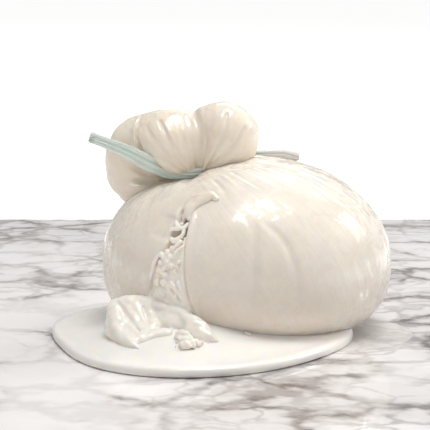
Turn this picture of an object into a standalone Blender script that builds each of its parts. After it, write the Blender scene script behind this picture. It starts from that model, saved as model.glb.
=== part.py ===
"""A burrata lying in its own cream on a marble board.

The origin is the middle of the board's underside, +Z is up and +Y points to the board's far edge.
The cheese is a soft skin pouch, gathered at its upper left into a neck with three folded lobes and
bound by a flat strip. A tear in the front left of the skin lets the curd filling out, which runs
down through the tear into a mound, and a pool of cream lies round the pouch's foot.

All lengths are in metres. Points of the cheese are given from the middle of the pouch's foot.
"""
import math

import bmesh
import bpy
from mathutils import Matrix, Vector

# The board.
BOARD_WIDTH = 0.300
BOARD_DEPTH = 0.400
BOARD_THICKNESS = 0.018
BOARD_EDGE_BEVEL = 0.0012
EDGE_SEGMENTS = 3

# Clearance between pieces that touch.
GAP = 0.0003

# The pouch: a rounded body, wider than it is high, with its widest girth low down.
FOOT = Vector((0.0108, -0.0457, BOARD_THICKNESS))
POUCH_RADIUS = 0.0500
GIRTH_HEIGHT = 0.0232
CROWN_HEIGHT = 0.0594
CROWN_EXPONENT = 2.1
BELLY_DEPTH = 0.0290
BELLY_EXPONENT = 2.5
SKIN_THICKNESS = 0.0042
OUTER_FINENESS = (56, 12, 6)
INNER_FINENESS = (36, 8, 4)

# The neck, where the skin is gathered, and the dip and pleats around it.
NECK_PLACE = Vector((-0.0200, -0.0010, 0.0))
NECK_RADIUS = 0.0095
NECK_LOW = 0.0440
NECK_HIGH = 0.0620
DIP_DEPTH = 0.0046
DIP_REACH = 0.0140
PLEAT_COUNT = 9
PLEAT_DEPTH = 0.0005
PLEAT_REACH = 0.0200

# The tear, level by level: height above the board, then the angles of its left and right edges,
# measured round the pouch's axis from the front towards the right.
TEAR_LEVELS = (
    (0.0068, -37.0, -24.0),
    (0.0130, -40.5, -22.2),
    (0.0174, -41.6, -22.7),
    (0.0225, -41.0, -23.8),
    (0.0290, -38.4, -24.8),
    (0.0350, -35.6, -25.9),
    (0.0395, -33.6, -26.7),
    (0.0435, -33.0, -27.6),
    (0.0462, -31.4, -28.6),
)
TEAR_INNER_REACH = 0.74
TEAR_OUTER_REACH = 1.16

# How far the filling stands out in the tear, from its foot to its top, as a share of the radius.
STREAM_REACH = (1.050, 1.060, 1.050, 1.020, 1.005, 1.000, 0.985, 0.955, 0.930)
STREAM_CLEARANCE = 0.008

# The pool of cream, as a closed wave round its own middle.
POOL_MIDDLE = Vector((-0.0140, -0.0280, 0.0))
POOL_RADIUS = 0.0510
POOL_WAVES = ((1, 0.0042, 137.0), (2, 0.0007, -65.0), (3, 0.0038, 17.6), (4, 0.0009, 41.4))
POOL_DEPTH = 0.0033
POOL_RIM = ((0.0008, 0.0000), (0.0000, 0.3500), (0.0004, 0.6500), (0.0014, 0.9000), (0.0030, 1.0000))
POOL_SEGMENTS = 64

# The cream is thick, so its surface climbs from the rim towards the pouch: how far it climbs, over what
# distance from the rim, and how much of that it does at the pouch's left, its front and its back.
POOL_CLIMB = 0.0074
POOL_CLIMB_REACH = 0.0300
POOL_CLIMB_POWER = 1.6
POOL_CLIMB_INSETS = (0.0030, 0.0100, 0.0170, 0.0240, 0.0330)
POOL_CALM_SHARE = 0.25
POOL_LEFT_TURNS = (-85.0, -45.0)
POOL_BACK_TURNS = (150.0, 100.0)

# The mound of curd: each strand is a soft ridge through points (across, along, height) with a width.
MOUND_MIDDLE = Vector((-0.0285, -0.0460, 0.0))
MOUND_RADIUS = 0.0155
MOUND_WAVES = ((1, 0.0012, -30.0), (2, 0.0036, -20.0), (3, 0.0012, 40.0))
MOUND_BASE = 0.0068
MOUND_STRANDS = (
    (0.0052, ((-0.0420, -0.0330, 0.0165), (-0.0445, -0.0385, 0.0120), (-0.0430, -0.0430, 0.0070))),
    (0.0050, ((-0.0380, -0.0350, 0.0175), (-0.0385, -0.0430, 0.0125), (-0.0350, -0.0500, 0.0060))),
    (0.0046, ((-0.0330, -0.0360, 0.0170), (-0.0310, -0.0420, 0.0110), (-0.0300, -0.0470, 0.0060))),
    (0.0042, ((-0.0310, -0.0400, 0.0175), (-0.0240, -0.0460, 0.0155), (-0.0190, -0.0490, 0.0125))),
    (0.0040, ((-0.0190, -0.0490, 0.0125), (-0.0150, -0.0500, 0.0085), (-0.0120, -0.0490, 0.0050))),
    (0.0048, ((-0.0230, -0.0520, 0.0055), (-0.0195, -0.0545, 0.0070), (-0.0165, -0.0570, 0.0050))),
)
MOUND_SEGMENTS = 40
MOUND_ROWS = 10
MOUND_CLEARANCE = 0.0060

# The knot's three lobes: middle, half-sizes, turn about the line of sight, and pleats.
LOBES = (
    ("left", Vector((-0.0370, 0.0015, 0.0573)), Vector((0.0120, 0.0105, 0.0150)), 6.0, 11, 0.0006),
    ("middle", Vector((-0.0272, -0.0045, 0.0632)), Vector((0.0122, 0.0112, 0.0122)), -24.0, 11, 0.0007),
    ("right", Vector((-0.0084, -0.0015, 0.0663)), Vector((0.0120, 0.0120, 0.0122)), 24.0, 13, 0.0005),
)
LOBE_SEGMENTS = 22
LOBE_ROWS = 9

# The raised lip at the head of the tear.
LIP_MIDDLE = Vector((-0.0152, -0.0345, 0.0475))
LIP_HALF_SIZES = Vector((0.0066, 0.0026, 0.0020))
LIP_RISE = -32.0
LIP_TURN = 14.0
LIP_SEGMENTS = 12
LIP_ROWS = 7

# The flat strip that binds the neck, from its left end round the front of the neck to its right end.
STRIP_WIDTH = 0.0033
STRIP_THICKNESS = 0.0011
STRIP_ROUTE = (
    Vector((-0.0535, -0.0130, 0.0672)),
    Vector((-0.0445, -0.0132, 0.0640)),
    Vector((-0.0355, -0.0124, 0.0605)),
    Vector((-0.0270, -0.0100, 0.0568)),
    Vector((-0.0190, -0.0090, 0.0560)),
    Vector((-0.0110, -0.0060, 0.0560)),
    Vector((-0.0050, 0.0040, 0.0583)),
    Vector((0.0030, 0.0115, 0.0592)),
    Vector((0.0115, 0.0130, 0.0588)),
    Vector((0.0195, 0.0130, 0.0572)),
)
STRIP_STEPS = 4
STRIP_TURN = 78.0


def clear_scene():
    """Remove every object, so that the file holds this model alone."""
    for thing in list(bpy.data.objects):
        bpy.data.objects.remove(thing, do_unlink=True)


def make_material(name, colour, roughness):
    """Make a plain material of one colour."""
    material = bpy.data.materials.new(name)
    material.use_nodes = True
    shader = material.node_tree.nodes["Principled BSDF"]
    shader.inputs["Base Color"].default_value = (*colour, 1.0)
    shader.inputs["Roughness"].default_value = roughness
    shader.inputs["Metallic"].default_value = 0.0
    material.diffuse_color = (*colour, 1.0)
    return material


def loft(name, rings, low_point=None, high_point=None):
    """Make a closed solid from a stack of equal rings, each end closed by a face or a point."""
    mesh = bmesh.new()
    rows = [[mesh.verts.new(point) for point in ring] for ring in rings]
    count = len(rows[0])
    for lower, upper in zip(rows, rows[1:]):
        for here in range(count):
            there = (here + 1) % count
            mesh.faces.new((lower[here], lower[there], upper[there], upper[here]))
    for row, point in ((rows[0], low_point), (rows[-1], high_point)):
        if point is None:
            mesh.faces.new(row)
            continue
        tip = mesh.verts.new(point)
        for here in range(count):
            mesh.faces.new((row[here], row[(here + 1) % count], tip))
    bmesh.ops.recalc_face_normals(mesh, faces=mesh.faces)
    data = bpy.data.meshes.new(name)
    mesh.to_mesh(data)
    mesh.free()
    data.shade_smooth()
    data.set_sharp_from_angle(angle=math.radians(50.0))
    solid = bpy.data.objects.new(name, data)
    bpy.context.scene.collection.objects.link(solid)
    return solid


def hide_tool(tool):
    """Keep a shape that only cuts or joins others out of the model."""
    tool.hide_render = True
    tool.display_type = "WIRE"


def combine(target, tool, operation):
    """Cut a tool from a solid, or join it on, with an exact Boolean."""
    modifier = target.modifiers.new(tool.name, "BOOLEAN")
    modifier.object = tool
    modifier.operation = operation
    modifier.solver = "EXACT"
    hide_tool(tool)


def dip_at(place):
    """How far the skin is drawn in towards the neck at a place, pleats included."""
    away = Vector((place.x - NECK_PLACE.x, place.y - NECK_PLACE.y))
    distance = away.length
    turn = math.atan2(away.y, away.x)
    crown = min(1.0, max(0.0, (place.z - GIRTH_HEIGHT) / (CROWN_HEIGHT - GIRTH_HEIGHT)))
    dip = DIP_DEPTH * math.exp(-((distance / DIP_REACH) ** 2))
    pleat = PLEAT_DEPTH * math.cos(PLEAT_COUNT * turn) * math.exp(-((distance / PLEAT_REACH) ** 2))
    return crown * (dip - pleat)


def pouch_radius_at(height, offset=0.0):
    """The pouch's radius at a height above the board, its surface moved outwards by an offset."""
    upper = height >= GIRTH_HEIGHT
    exponent = CROWN_EXPONENT if upper else BELLY_EXPONENT
    span = (CROWN_HEIGHT - GIRTH_HEIGHT if upper else BELLY_DEPTH) + offset
    share = min(1.0, abs(height - GIRTH_HEIGHT) / span)
    return (POUCH_RADIUS + offset) * (1.0 - share ** exponent) ** (1.0 / exponent)


def pouch_point(turn, height, offset):
    """A point of the pouch's surface at a height, moved outwards by an offset."""
    radius = pouch_radius_at(height, offset)
    place = Vector((radius * math.sin(turn), -radius * math.cos(turn), height))
    inward = Vector((NECK_PLACE.x, NECK_PLACE.y, GIRTH_HEIGHT)) - place
    return place + inward.normalized() * dip_at(place)


def pouch_solid(name, offset, fineness):
    """The pouch's whole rounded body, flat at its foot, grown or shrunk by an offset."""
    segments, crown_rows, belly_rows = fineness
    floor = GAP - offset
    crown = CROWN_HEIGHT - GIRTH_HEIGHT + offset
    belly = GIRTH_HEIGHT - floor
    heights = [floor + belly * math.sin(0.5 * math.pi * row / belly_rows) for row in range(belly_rows)]
    heights += [
        GIRTH_HEIGHT + crown * math.sin(0.5 * math.pi * row / crown_rows)
        for row in range(crown_rows)
    ]
    turns = [2.0 * math.pi * step / segments for step in range(segments)]
    rings = [[FOOT + pouch_point(turn, height, offset) for turn in turns] for height in heights]
    tips = [FOOT + Vector((0.0, 0.0, floor)), FOOT + pouch_point(0.0, GIRTH_HEIGHT + crown, offset)]
    return loft(name, rings, *tips)


def tear_solid(name, shrink, inner_reach, outer_reaches):
    """A block that follows the tear's outline through the skin, narrowed all round by a shrink."""
    rings = []
    last = len(TEAR_LEVELS) - 1
    for level, ((height, left, right), outer_reach) in enumerate(zip(TEAR_LEVELS, outer_reaches)):
        radius = pouch_radius_at(height)
        inset = shrink / radius
        edges = (math.radians(left) + inset, math.radians(right) - inset)
        lift = height + shrink * ((level == 0) - (level == last))
        corners = (
            (edges[0], inner_reach), (edges[0], outer_reach),
            (edges[1], outer_reach), (edges[1], inner_reach),
        )
        rings.append([
            FOOT + Vector((math.sin(turn) * radius * reach, -math.cos(turn) * radius * reach, lift))
            for turn, reach in corners
        ])
    return loft(name, rings)


def wave_radius(radius, waves, turn):
    """The radius of a closed wavy outline at a turn in degrees."""
    swell = sum(height * math.cos(math.radians(count * (turn - phase))) for count, height, phase in waves)
    return radius + swell


def outline(middle, radius, waves, segments, shift, height):
    """A closed wavy outline round a middle, moved outwards by a shift, at a height above the board."""
    points = []
    for step in range(segments):
        turn = 360.0 * step / segments
        reach = wave_radius(radius, waves, turn) + shift
        angle = math.radians(turn)
        points.append(FOOT + middle + Vector((math.cos(angle) * reach, math.sin(angle) * reach, height)))
    return points


def ease(low, high, value):
    """A number eased from 0 at a low mark to 1 at a high mark."""
    share = min(1.0, max(0.0, (value - low) / (high - low)))
    return share * share * (3.0 - 2.0 * share)


def pool_height(place, inset):
    """The height of the cream at a place from the pouch's foot, and that far in from the pool's rim."""
    turn = math.degrees(math.atan2(place.x, -place.y))
    side = ease(*POOL_LEFT_TURNS, turn) * ease(*POOL_BACK_TURNS, turn)
    climb = POOL_CLIMB * (POOL_CALM_SHARE + (1.0 - POOL_CALM_SHARE) * side)
    share = min(1.0, max(0.0, (inset - POOL_CLIMB_INSETS[0]) / POOL_CLIMB_REACH))
    return POOL_DEPTH + climb * share ** POOL_CLIMB_POWER


def pool_solid(name):
    """The pool of cream with its rounded rim, before the cheese is cut out of it."""
    depth = POOL_DEPTH - GAP
    rings = [
        outline(POOL_MIDDLE, POOL_RADIUS, POOL_WAVES, POOL_SEGMENTS, -inset, GAP + depth * share)
        for inset, share in POOL_RIM[:-1]
    ]
    for inset in POOL_CLIMB_INSETS:
        ring = outline(POOL_MIDDLE, POOL_RADIUS, POOL_WAVES, POOL_SEGMENTS, -inset, 0.0)
        rings.append([point + Vector((0.0, 0.0, pool_height(point - FOOT, inset))) for point in ring])
    middle = FOOT + POOL_MIDDLE
    top = pool_height(POOL_MIDDLE, POOL_CLIMB_REACH)
    return loft(name, rings, middle + Vector((0.0, 0.0, GAP)), middle + Vector((0.0, 0.0, top)))


def strand_height(place, start, end, half_width):
    """The height of one straight piece of strand above a place, or nothing beside it."""
    run = Vector((end[0] - start[0], end[1] - start[1]))
    share = (place - Vector(start[:2])).dot(run) / run.length_squared
    share = min(1.0, max(0.0, share))
    beside = (place - Vector(start[:2]) - run * share).length / half_width
    crest = start[2] + (end[2] - start[2]) * share
    return MOUND_BASE + (crest - MOUND_BASE) * math.sqrt(max(0.0, 1.0 - beside * beside))


def mound_height(place):
    """The height of the mound of curd at a place beside the pouch."""
    heights = [MOUND_BASE]
    for half_width, points in MOUND_STRANDS:
        heights += [strand_height(place, start, end, half_width) for start, end in zip(points, points[1:])]
    return max(heights)


def mound_solid(name, offset, lift):
    """The mound of curd from the board up, grown sideways by an offset and raised by a lift."""
    middle = MOUND_MIDDLE
    floor = GAP - offset
    rim = outline(middle, MOUND_RADIUS, MOUND_WAVES, MOUND_SEGMENTS, offset, floor)
    rings = [rim]
    for row in range(MOUND_ROWS):
        share = 1.0 - row / MOUND_ROWS
        ring = []
        for point in rim:
            place = Vector((point.x - FOOT.x - middle.x, point.y - FOOT.y - middle.y)) * share
            place += Vector((middle.x, middle.y))
            ring.append(FOOT + Vector((place.x, place.y, mound_height(place) + lift)))
        rings.append(ring)
    top = FOOT + Vector((middle.x, middle.y, mound_height(Vector((middle.x, middle.y))) + lift))
    return loft(name, rings, FOOT + Vector((middle.x, middle.y, floor)), top)


def ball_solid(name, middle, half_sizes, turn, segments, rows, pleats=0, pleat_depth=0.0):
    """A rounded lobe with pleats from pole to pole, its poles on its own X axis before the turn."""
    placing = Matrix.Translation(FOOT + middle) @ turn
    rings = []
    for row in range(1, rows):
        lift = math.pi * row / rows
        ring = []
        for step in range(segments):
            angle = 2.0 * math.pi * step / segments
            swell = 1.0 + pleat_depth / half_sizes.z * math.cos(pleats * angle)
            across = math.sin(lift) * swell
            ring.append(placing @ Vector((
                -math.cos(lift) * half_sizes.x,
                across * math.cos(angle) * half_sizes.y,
                across * math.sin(angle) * half_sizes.z,
            )))
        rings.append(ring)
    tips = [placing @ Vector((side * half_sizes.x, 0.0, 0.0)) for side in (-1.0, 1.0)]
    return loft(name, rings, tips[0], tips[1])


def smooth_route(points, steps):
    """Points of a smooth curve through a route, by the Catmull-Rom rule."""
    padded = [points[0] * 2.0 - points[1], *points, points[-1] * 2.0 - points[-2]]
    route = []
    for before, start, end, after in zip(padded, padded[1:], padded[2:], padded[3:]):
        for step in range(steps):
            share = step / steps
            route.append(0.5 * (
                start * 2.0
                + (end - before) * share
                + (before * 2.0 - start * 5.0 + end * 4.0 - after) * share ** 2
                + (start * 3.0 - before - end * 3.0 + after) * share ** 3
            ))
    route.append(points[-1])
    return route


def strip_solid(name, offset):
    """The binding strip, a flat band swept along its route and grown by an offset."""
    route = smooth_route(STRIP_ROUTE, STRIP_STEPS)
    half_width = STRIP_WIDTH / 2.0 + offset
    half_thickness = STRIP_THICKNESS / 2.0 + offset
    rings = []
    for index, point in enumerate(route):
        ahead = route[min(index + 1, len(route) - 1)] - route[max(index - 1, 0)]
        ahead.normalize()
        side = ahead.cross(Vector((0.0, 0.0, 1.0))).normalized()
        up = side.cross(ahead)
        lean = Matrix.Rotation(math.radians(STRIP_TURN), 3, ahead)
        wide, thick = lean @ side, lean @ up
        reach = 0.0
        if index in (0, len(route) - 1):
            reach = offset if index else -offset
        base = FOOT + point + ahead * reach
        rings.append([
            base + wide * across * half_width + thick * over * half_thickness
            for across, over in ((-1, -1), (1, -1), (1, 1), (-1, 1))
        ])
    return loft(name, rings)


def lobe_turn(degrees):
    """Turn a lobe in the plane that faces the front."""
    return Matrix.Rotation(math.radians(degrees), 4, "Y")


def make_board(material):
    """The marble board with softened edges."""
    mesh = bmesh.new()
    bmesh.ops.create_cube(mesh, size=1.0)
    for vertex in mesh.verts:
        vertex.co.x *= BOARD_WIDTH
        vertex.co.y *= BOARD_DEPTH
        vertex.co.z = (vertex.co.z + 0.5) * BOARD_THICKNESS
    data = bpy.data.meshes.new("board")
    mesh.to_mesh(data)
    mesh.free()
    board = bpy.data.objects.new("board", data)
    bpy.context.scene.collection.objects.link(board)
    bevel = board.modifiers.new("edge", "BEVEL")
    bevel.width = BOARD_EDGE_BEVEL
    bevel.segments = EDGE_SEGMENTS
    board.data.materials.append(material)


def make_pouch(material):
    """The skin: body, neck and lobes in one, hollow inside, open at the tear."""
    pouch = pouch_solid("pouch", 0.0, OUTER_FINENESS)
    angles = [2.0 * math.pi * step / LOBE_SEGMENTS for step in range(LOBE_SEGMENTS)]
    spokes = [NECK_RADIUS * Vector((math.cos(angle), math.sin(angle), 0.0)) for angle in angles]
    neck_rings = [
        [FOOT + NECK_PLACE + spoke + Vector((0.0, 0.0, height)) for spoke in spokes]
        for height in (NECK_LOW, NECK_HIGH)
    ]
    combine(pouch, loft("neck", neck_rings), "UNION")
    for label, middle, half_sizes, turn, pleats, depth in LOBES:
        lobe = ball_solid(
            f"lobe_{label}", middle, half_sizes, lobe_turn(turn), LOBE_SEGMENTS, LOBE_ROWS, pleats, depth
        )
        combine(pouch, lobe, "UNION")
    lip_turn = Matrix.Rotation(math.radians(LIP_TURN), 4, "Z") @ lobe_turn(LIP_RISE)
    combine(pouch, ball_solid("lip", LIP_MIDDLE, LIP_HALF_SIZES, lip_turn, LIP_SEGMENTS, LIP_ROWS), "UNION")
    combine(pouch, pouch_solid("pouch_hollow", -SKIN_THICKNESS, INNER_FINENESS), "DIFFERENCE")
    reaches = [TEAR_OUTER_REACH] * len(TEAR_LEVELS)
    combine(pouch, tear_solid("tear", 0.0, TEAR_INNER_REACH, reaches), "DIFFERENCE")
    combine(pouch, strip_solid("strip_way", GAP), "DIFFERENCE")
    pouch.data.materials.append(material)


def make_filling(material):
    """The curd inside the pouch, the stream in the tear and the mound at its foot, as one solid."""
    filling = pouch_solid("filling", -SKIN_THICKNESS - GAP, INNER_FINENESS)
    stream = tear_solid("stream", GAP, TEAR_INNER_REACH, STREAM_REACH)
    combine(filling, stream, "UNION")
    skin_space = pouch_solid("skin_space", GAP, OUTER_FINENESS)
    reaches = [TEAR_OUTER_REACH] * len(TEAR_LEVELS)
    tear_way = tear_solid("tear_way", GAP, TEAR_INNER_REACH, reaches)
    combine(skin_space, tear_way, "DIFFERENCE")
    mound = mound_solid("mound", 0.0, 0.0)
    combine(mound, skin_space, "DIFFERENCE")
    combine(filling, mound, "UNION")
    filling.data.materials.append(material)


def make_pool(material):
    """The pool of cream, cut round the pouch's foot, the stream and the mound."""
    pool = pool_solid("cream_pool")
    combine(pool, pouch_solid("pouch_space", GAP, OUTER_FINENESS), "DIFFERENCE")
    reaches = [reach + STREAM_CLEARANCE for reach in STREAM_REACH]
    combine(pool, tear_solid("stream_space", 0.0, TEAR_INNER_REACH, reaches), "DIFFERENCE")
    combine(pool, mound_solid("mound_space", GAP, MOUND_CLEARANCE), "DIFFERENCE")
    pool.data.materials.append(material)


def make_strip(material):
    """The flat strip that binds the neck."""
    strip = strip_solid("binding_strip", 0.0)
    strip.data.materials.append(material)


def main():
    """Build the whole object."""
    clear_scene()
    make_board(make_material("marble", (0.78, 0.76, 0.76), 0.12))
    make_pouch(make_material("skin", (0.83, 0.77, 0.69), 0.35))
    make_filling(make_material("curd", (0.86, 0.80, 0.72), 0.30))
    make_pool(make_material("cream", (0.90, 0.85, 0.79), 0.15))
    make_strip(make_material("strip", (0.52, 0.60, 0.52), 0.40))


main()
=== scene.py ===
"""Looks of a torn burrata that lies in its own cream on a polished marble board.

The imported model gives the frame: the board stays as it is and takes a marble finish, and every soft
piece is modelled again in full detail inside the space that its plain solid holds. Meshes are in
metres. The tables of rolls, creases and drops are in millimetres. Places on the cheese are measured
from the middle of the pouch's foot, where it meets the board.
"""
from __future__ import annotations

import logging
import math
from dataclasses import dataclass, field
from enum import Enum, IntEnum
from typing import Any, Iterable, Sequence

import bmesh
import bpy
import numpy as np
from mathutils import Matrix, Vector

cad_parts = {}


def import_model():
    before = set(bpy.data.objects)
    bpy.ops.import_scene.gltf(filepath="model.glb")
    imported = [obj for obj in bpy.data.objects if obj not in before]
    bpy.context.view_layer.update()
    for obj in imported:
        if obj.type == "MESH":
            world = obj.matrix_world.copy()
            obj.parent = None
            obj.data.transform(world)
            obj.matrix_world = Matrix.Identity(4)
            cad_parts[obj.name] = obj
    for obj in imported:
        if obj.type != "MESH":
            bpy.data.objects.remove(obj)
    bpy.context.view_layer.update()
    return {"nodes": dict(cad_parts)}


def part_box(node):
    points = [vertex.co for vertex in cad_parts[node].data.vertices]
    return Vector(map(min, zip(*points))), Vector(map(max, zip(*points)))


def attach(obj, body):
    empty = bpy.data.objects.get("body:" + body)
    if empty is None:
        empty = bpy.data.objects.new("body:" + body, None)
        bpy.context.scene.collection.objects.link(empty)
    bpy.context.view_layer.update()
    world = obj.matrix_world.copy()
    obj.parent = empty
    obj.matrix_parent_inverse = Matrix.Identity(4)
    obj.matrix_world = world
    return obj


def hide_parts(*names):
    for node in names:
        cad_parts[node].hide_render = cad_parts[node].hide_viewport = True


LOG = logging.getLogger("burrata")
MM = 0.001
MIXERS = (374761393, 668265263, 2147483647)
LAST_MIXER = 1274126177
LOW_BITS = 0xFFFFFF
Array = np.ndarray
Place = tuple[float, float, float]
Bead = tuple[float, float, float, float]
Roll = tuple[Bead, ...]


class Seed(IntEnum):
    """Which of the repeatable noises shapes what."""

    NECK_PLEATS = 5
    SHOULDER_FOLDS = 9
    SIDE_THREADS = 13
    SIDE_BANDS = 21
    CRUMBS = 23
    SKIN_LUMPS = 33
    TEAR_EDGE = 41
    CREAM_SWELL = 51
    WHEY_EDGE = 61
    LIP = 71
    KNOT_THREADS = 83
    KNOT_PLEATS = 87
    CURD_LUMPS = 91
    CURD_GRAIN = 95
    CURD_DIMPLES = 97


# ---------------------------------------------------------------------------------------------
# Shader expressions
# ---------------------------------------------------------------------------------------------


class Value:
    """A number that varies over a surface: a shader socket that takes part in Python sums."""

    def __init__(self, bench: "ShaderBench", socket: bpy.types.NodeSocket) -> None:
        """Wrap a socket of one material."""
        self.bench = bench
        self.socket = socket

    def _math(self, operation: str, *others: "Value | float", clamp: bool = False) -> "Value":
        """Add a Math node that works on this value and others.

        Args:
            operation: the Math node's operation.
            others: its further inputs.
            clamp: hold the result between 0 and 1.

        Returns:
            The result.
        """
        values = {index: other for index, other in enumerate((self, *others))}
        settings = {"operation": operation, "use_clamp": clamp}
        return Value(self.bench, self.bench.node("ShaderNodeMath", settings, values).outputs[0])

    def __add__(self, other: "Value | float") -> "Value":
        """This value and another."""
        return self._math("ADD", other)

    __radd__ = __add__

    def __mul__(self, other: "Value | float") -> "Value":
        """This value times another."""
        return self._math("MULTIPLY", other)

    __rmul__ = __mul__

    def __sub__(self, other: "Value | float") -> "Value":
        """This value less another."""
        return self._math("SUBTRACT", other)

    def __rsub__(self, other: "Value | float") -> "Value":
        """Another value less this one."""
        return self._math("MULTIPLY", -1.0)._math("ADD", other)

    def __pow__(self, other: "Value | float") -> "Value":
        """This value to a power."""
        return self._math("POWER", other)

    def clamped(self) -> "Value":
        """The value held between 0 and 1."""
        return self._math("ADD", 0.0, clamp=True)

    def between(self, low: float, high: float) -> "Value":
        """The value eased from 0 at a low mark to 1 at a high mark.

        Args:
            low: the value that gives 0.
            high: the value that gives 1; it may lie below low.

        Returns:
            A value from 0 to 1.
        """
        settings = {"interpolation_type": "SMOOTHSTEP", "clamp": True}
        values = {0: self, 1: low, 2: high, 3: 0.0, 4: 1.0}
        return Value(self.bench, self.bench.node("ShaderNodeMapRange", settings, values).outputs[0])


class ShaderBench:
    """Builds one material's node tree."""

    def __init__(self, name: str) -> None:
        """Start a material.

        Args:
            name: the material's name.
        """
        self.material = bpy.data.materials.new(name)
        self.material.use_nodes = True
        self.tree = self.material.node_tree
        self.shader = self.tree.nodes["Principled BSDF"]

    def node(self, kind: str, settings: dict[str, Any], values: dict[int | str, Any]) -> bpy.types.Node:
        """Add a node.

        Args:
            kind: the node's type.
            settings: properties of the node, set first.
            values: what each input takes: a number, a colour, a vector, a Value or a socket.

        Returns:
            The new node.
        """
        made = self.tree.nodes.new(kind)
        for key, setting in settings.items():
            setattr(made, key, setting)
        for key, value in values.items():
            self.feed(made.inputs[key], value)
        return made

    def feed(self, entry: bpy.types.NodeSocket, value: Any) -> None:
        """Link a value to an input, or set the input to a constant.

        Args:
            entry: the input.
            value: a Value, a socket or a constant.
        """
        if isinstance(value, Value):
            self.tree.links.new(value.socket, entry)
        elif isinstance(value, bpy.types.NodeSocket):
            self.tree.links.new(value, entry)
        else:
            entry.default_value = value

    def place(self, shift: Place = (0.0, 0.0, 0.0)) -> bpy.types.NodeSocket:
        """Object coordinates, shifted."""
        source = self.node("ShaderNodeTexCoord", {}, {}).outputs["Object"]
        return self.node("ShaderNodeMapping", {}, {"Vector": source, "Location": shift}).outputs[0]

    def attribute(self, name: str) -> bpy.types.Node:
        """A node that reads an attribute of the piece's own mesh."""
        return self.node("ShaderNodeAttribute", {"attribute_name": name}, {})

    def noise(
        self, where: Any, scale: float, detail: float = 3.0, rough: float = 0.55, warp: float = 0.0
    ) -> Value:
        """Soft noise from 0 to 1 at a place."""
        values = {"Vector": where, "Scale": scale, "Detail": detail, "Roughness": rough, "Distortion": warp}
        return Value(self, self.node("ShaderNodeTexNoise", {}, values).outputs[0])

    def blend(self, mask: Value | float, first: Any, second: Any) -> bpy.types.NodeSocket:
        """Mix two colours by a mask."""
        values = {0: mask, 6: first, 7: second}
        return self.node("ShaderNodeMix", {"data_type": "RGBA"}, values).outputs[2]

    def bump(self, height: Value, strength: float, distance: float) -> bpy.types.NodeSocket:
        """Turn a height into a normal."""
        values = {"Height": height, "Strength": strength, "Distance": distance}
        return self.node("ShaderNodeBump", {}, values).outputs[0]

    def dress(self, **values: Any) -> bpy.types.Material:
        """Set the shader's inputs by name, with underscores for spaces, and return the material."""
        for name, value in values.items():
            self.feed(self.shader.inputs[name.replace("_", " ")], value)
        return self.material


def rgba(colour: Sequence[float]) -> tuple[float, float, float, float]:
    """A colour with full opacity."""
    return (colour[0], colour[1], colour[2], 1.0)


# ---------------------------------------------------------------------------------------------
# Finishes
# ---------------------------------------------------------------------------------------------


@dataclass(frozen=True)
class MilkBody:
    """How light passes through a milky piece."""

    colour: Place
    deep: Place
    roughness: float
    scatter: float
    reach: float


@dataclass(frozen=True)
class SkinFinish:
    """The stretched skin: moist, ivory, with drawn threads that follow the grain attribute."""

    name: str
    body: MilkBody
    thread_depth: float = 0.16 * MM
    wet_share: float = 0.5

    def make(self) -> bpy.types.Material:
        """Build the material.

        Returns:
            The material.
        """
        bench = ShaderBench(self.name)
        grain = bench.attribute("grain")
        threads = bench.noise(grain.outputs["Vector"], 1.0, 4.0, 0.6)
        wide = bench.noise(bench.place(), 55.0, 3.0)
        fine = bench.noise(bench.place(), 900.0, 3.0, 0.6)
        wet = bench.noise(bench.place((0.3, 0.1, 0.2)), 190.0, 4.0, 0.6, 0.9).between(0.45, 0.57)
        warm = (wide * 0.6 + threads * 0.4).between(0.3, 0.75)
        colour = bench.blend(warm, rgba(self.body.colour), rgba(self.body.deep))
        normal = bench.bump(threads + fine * 0.10, 0.55, self.thread_depth)
        rough = self.body.roughness + 0.10 * threads - 0.16 * self.wet_share * wet
        return bench.dress(
            Base_Color=colour,
            Roughness=rough,
            Normal=normal,
            IOR=1.42,
            Subsurface_Weight=self.body.scatter,
            Subsurface_Radius=(1.0, 0.72, 0.42),
            Subsurface_Scale=self.body.reach,
            Coat_Weight=0.10 + 0.85 * wet,
            Coat_Roughness=0.10,
        )


@dataclass(frozen=True)
class CurdFinish:
    """Wet curd: creamy white, glossy, slightly grainy."""

    name: str
    body: MilkBody

    def make(self) -> bpy.types.Material:
        """Build the material.

        Returns:
            The material.
        """
        bench = ShaderBench(self.name)
        lumps = bench.noise(bench.place(), 420.0, 3.0, 0.55)
        fine = bench.noise(bench.place(), 1500.0, 2.0, 0.5)
        tone = bench.noise(bench.place((0.2, 0.4, 0.1)), 160.0, 3.0).between(0.3, 0.75)
        colour = bench.blend(tone, rgba(self.body.colour), rgba(self.body.deep))
        normal = bench.bump(lumps + 0.2 * fine, 0.45, 0.22 * MM)
        return bench.dress(
            Base_Color=colour,
            Roughness=self.body.roughness + 0.14 * lumps,
            Normal=normal,
            IOR=1.40,
            Subsurface_Weight=self.body.scatter,
            Subsurface_Radius=(1.0, 0.72, 0.42),
            Subsurface_Scale=self.body.reach,
            Coat_Weight=0.6,
            Coat_Roughness=0.08,
        )


@dataclass(frozen=True)
class CreamFinish:
    """Liquid cream: smooth, glossy and a little warm."""

    name: str
    body: MilkBody

    def make(self) -> bpy.types.Material:
        """Build the material.

        Returns:
            The material.
        """
        bench = ShaderBench(self.name)
        tone = bench.noise(bench.place(), 45.0, 3.0).between(0.3, 0.7)
        ripple = bench.noise(bench.place(), 90.0, 2.0)
        colour = bench.blend(tone, rgba(self.body.colour), rgba(self.body.deep))
        return bench.dress(
            Base_Color=colour,
            Roughness=self.body.roughness + 0.05 * tone,
            Normal=bench.bump(ripple, 0.25, 0.25 * MM),
            IOR=1.38,
            Subsurface_Weight=self.body.scatter,
            Subsurface_Radius=(1.0, 0.75, 0.48),
            Subsurface_Scale=self.body.reach,
            Coat_Weight=0.25,
            Coat_Roughness=0.05,
        )


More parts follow.
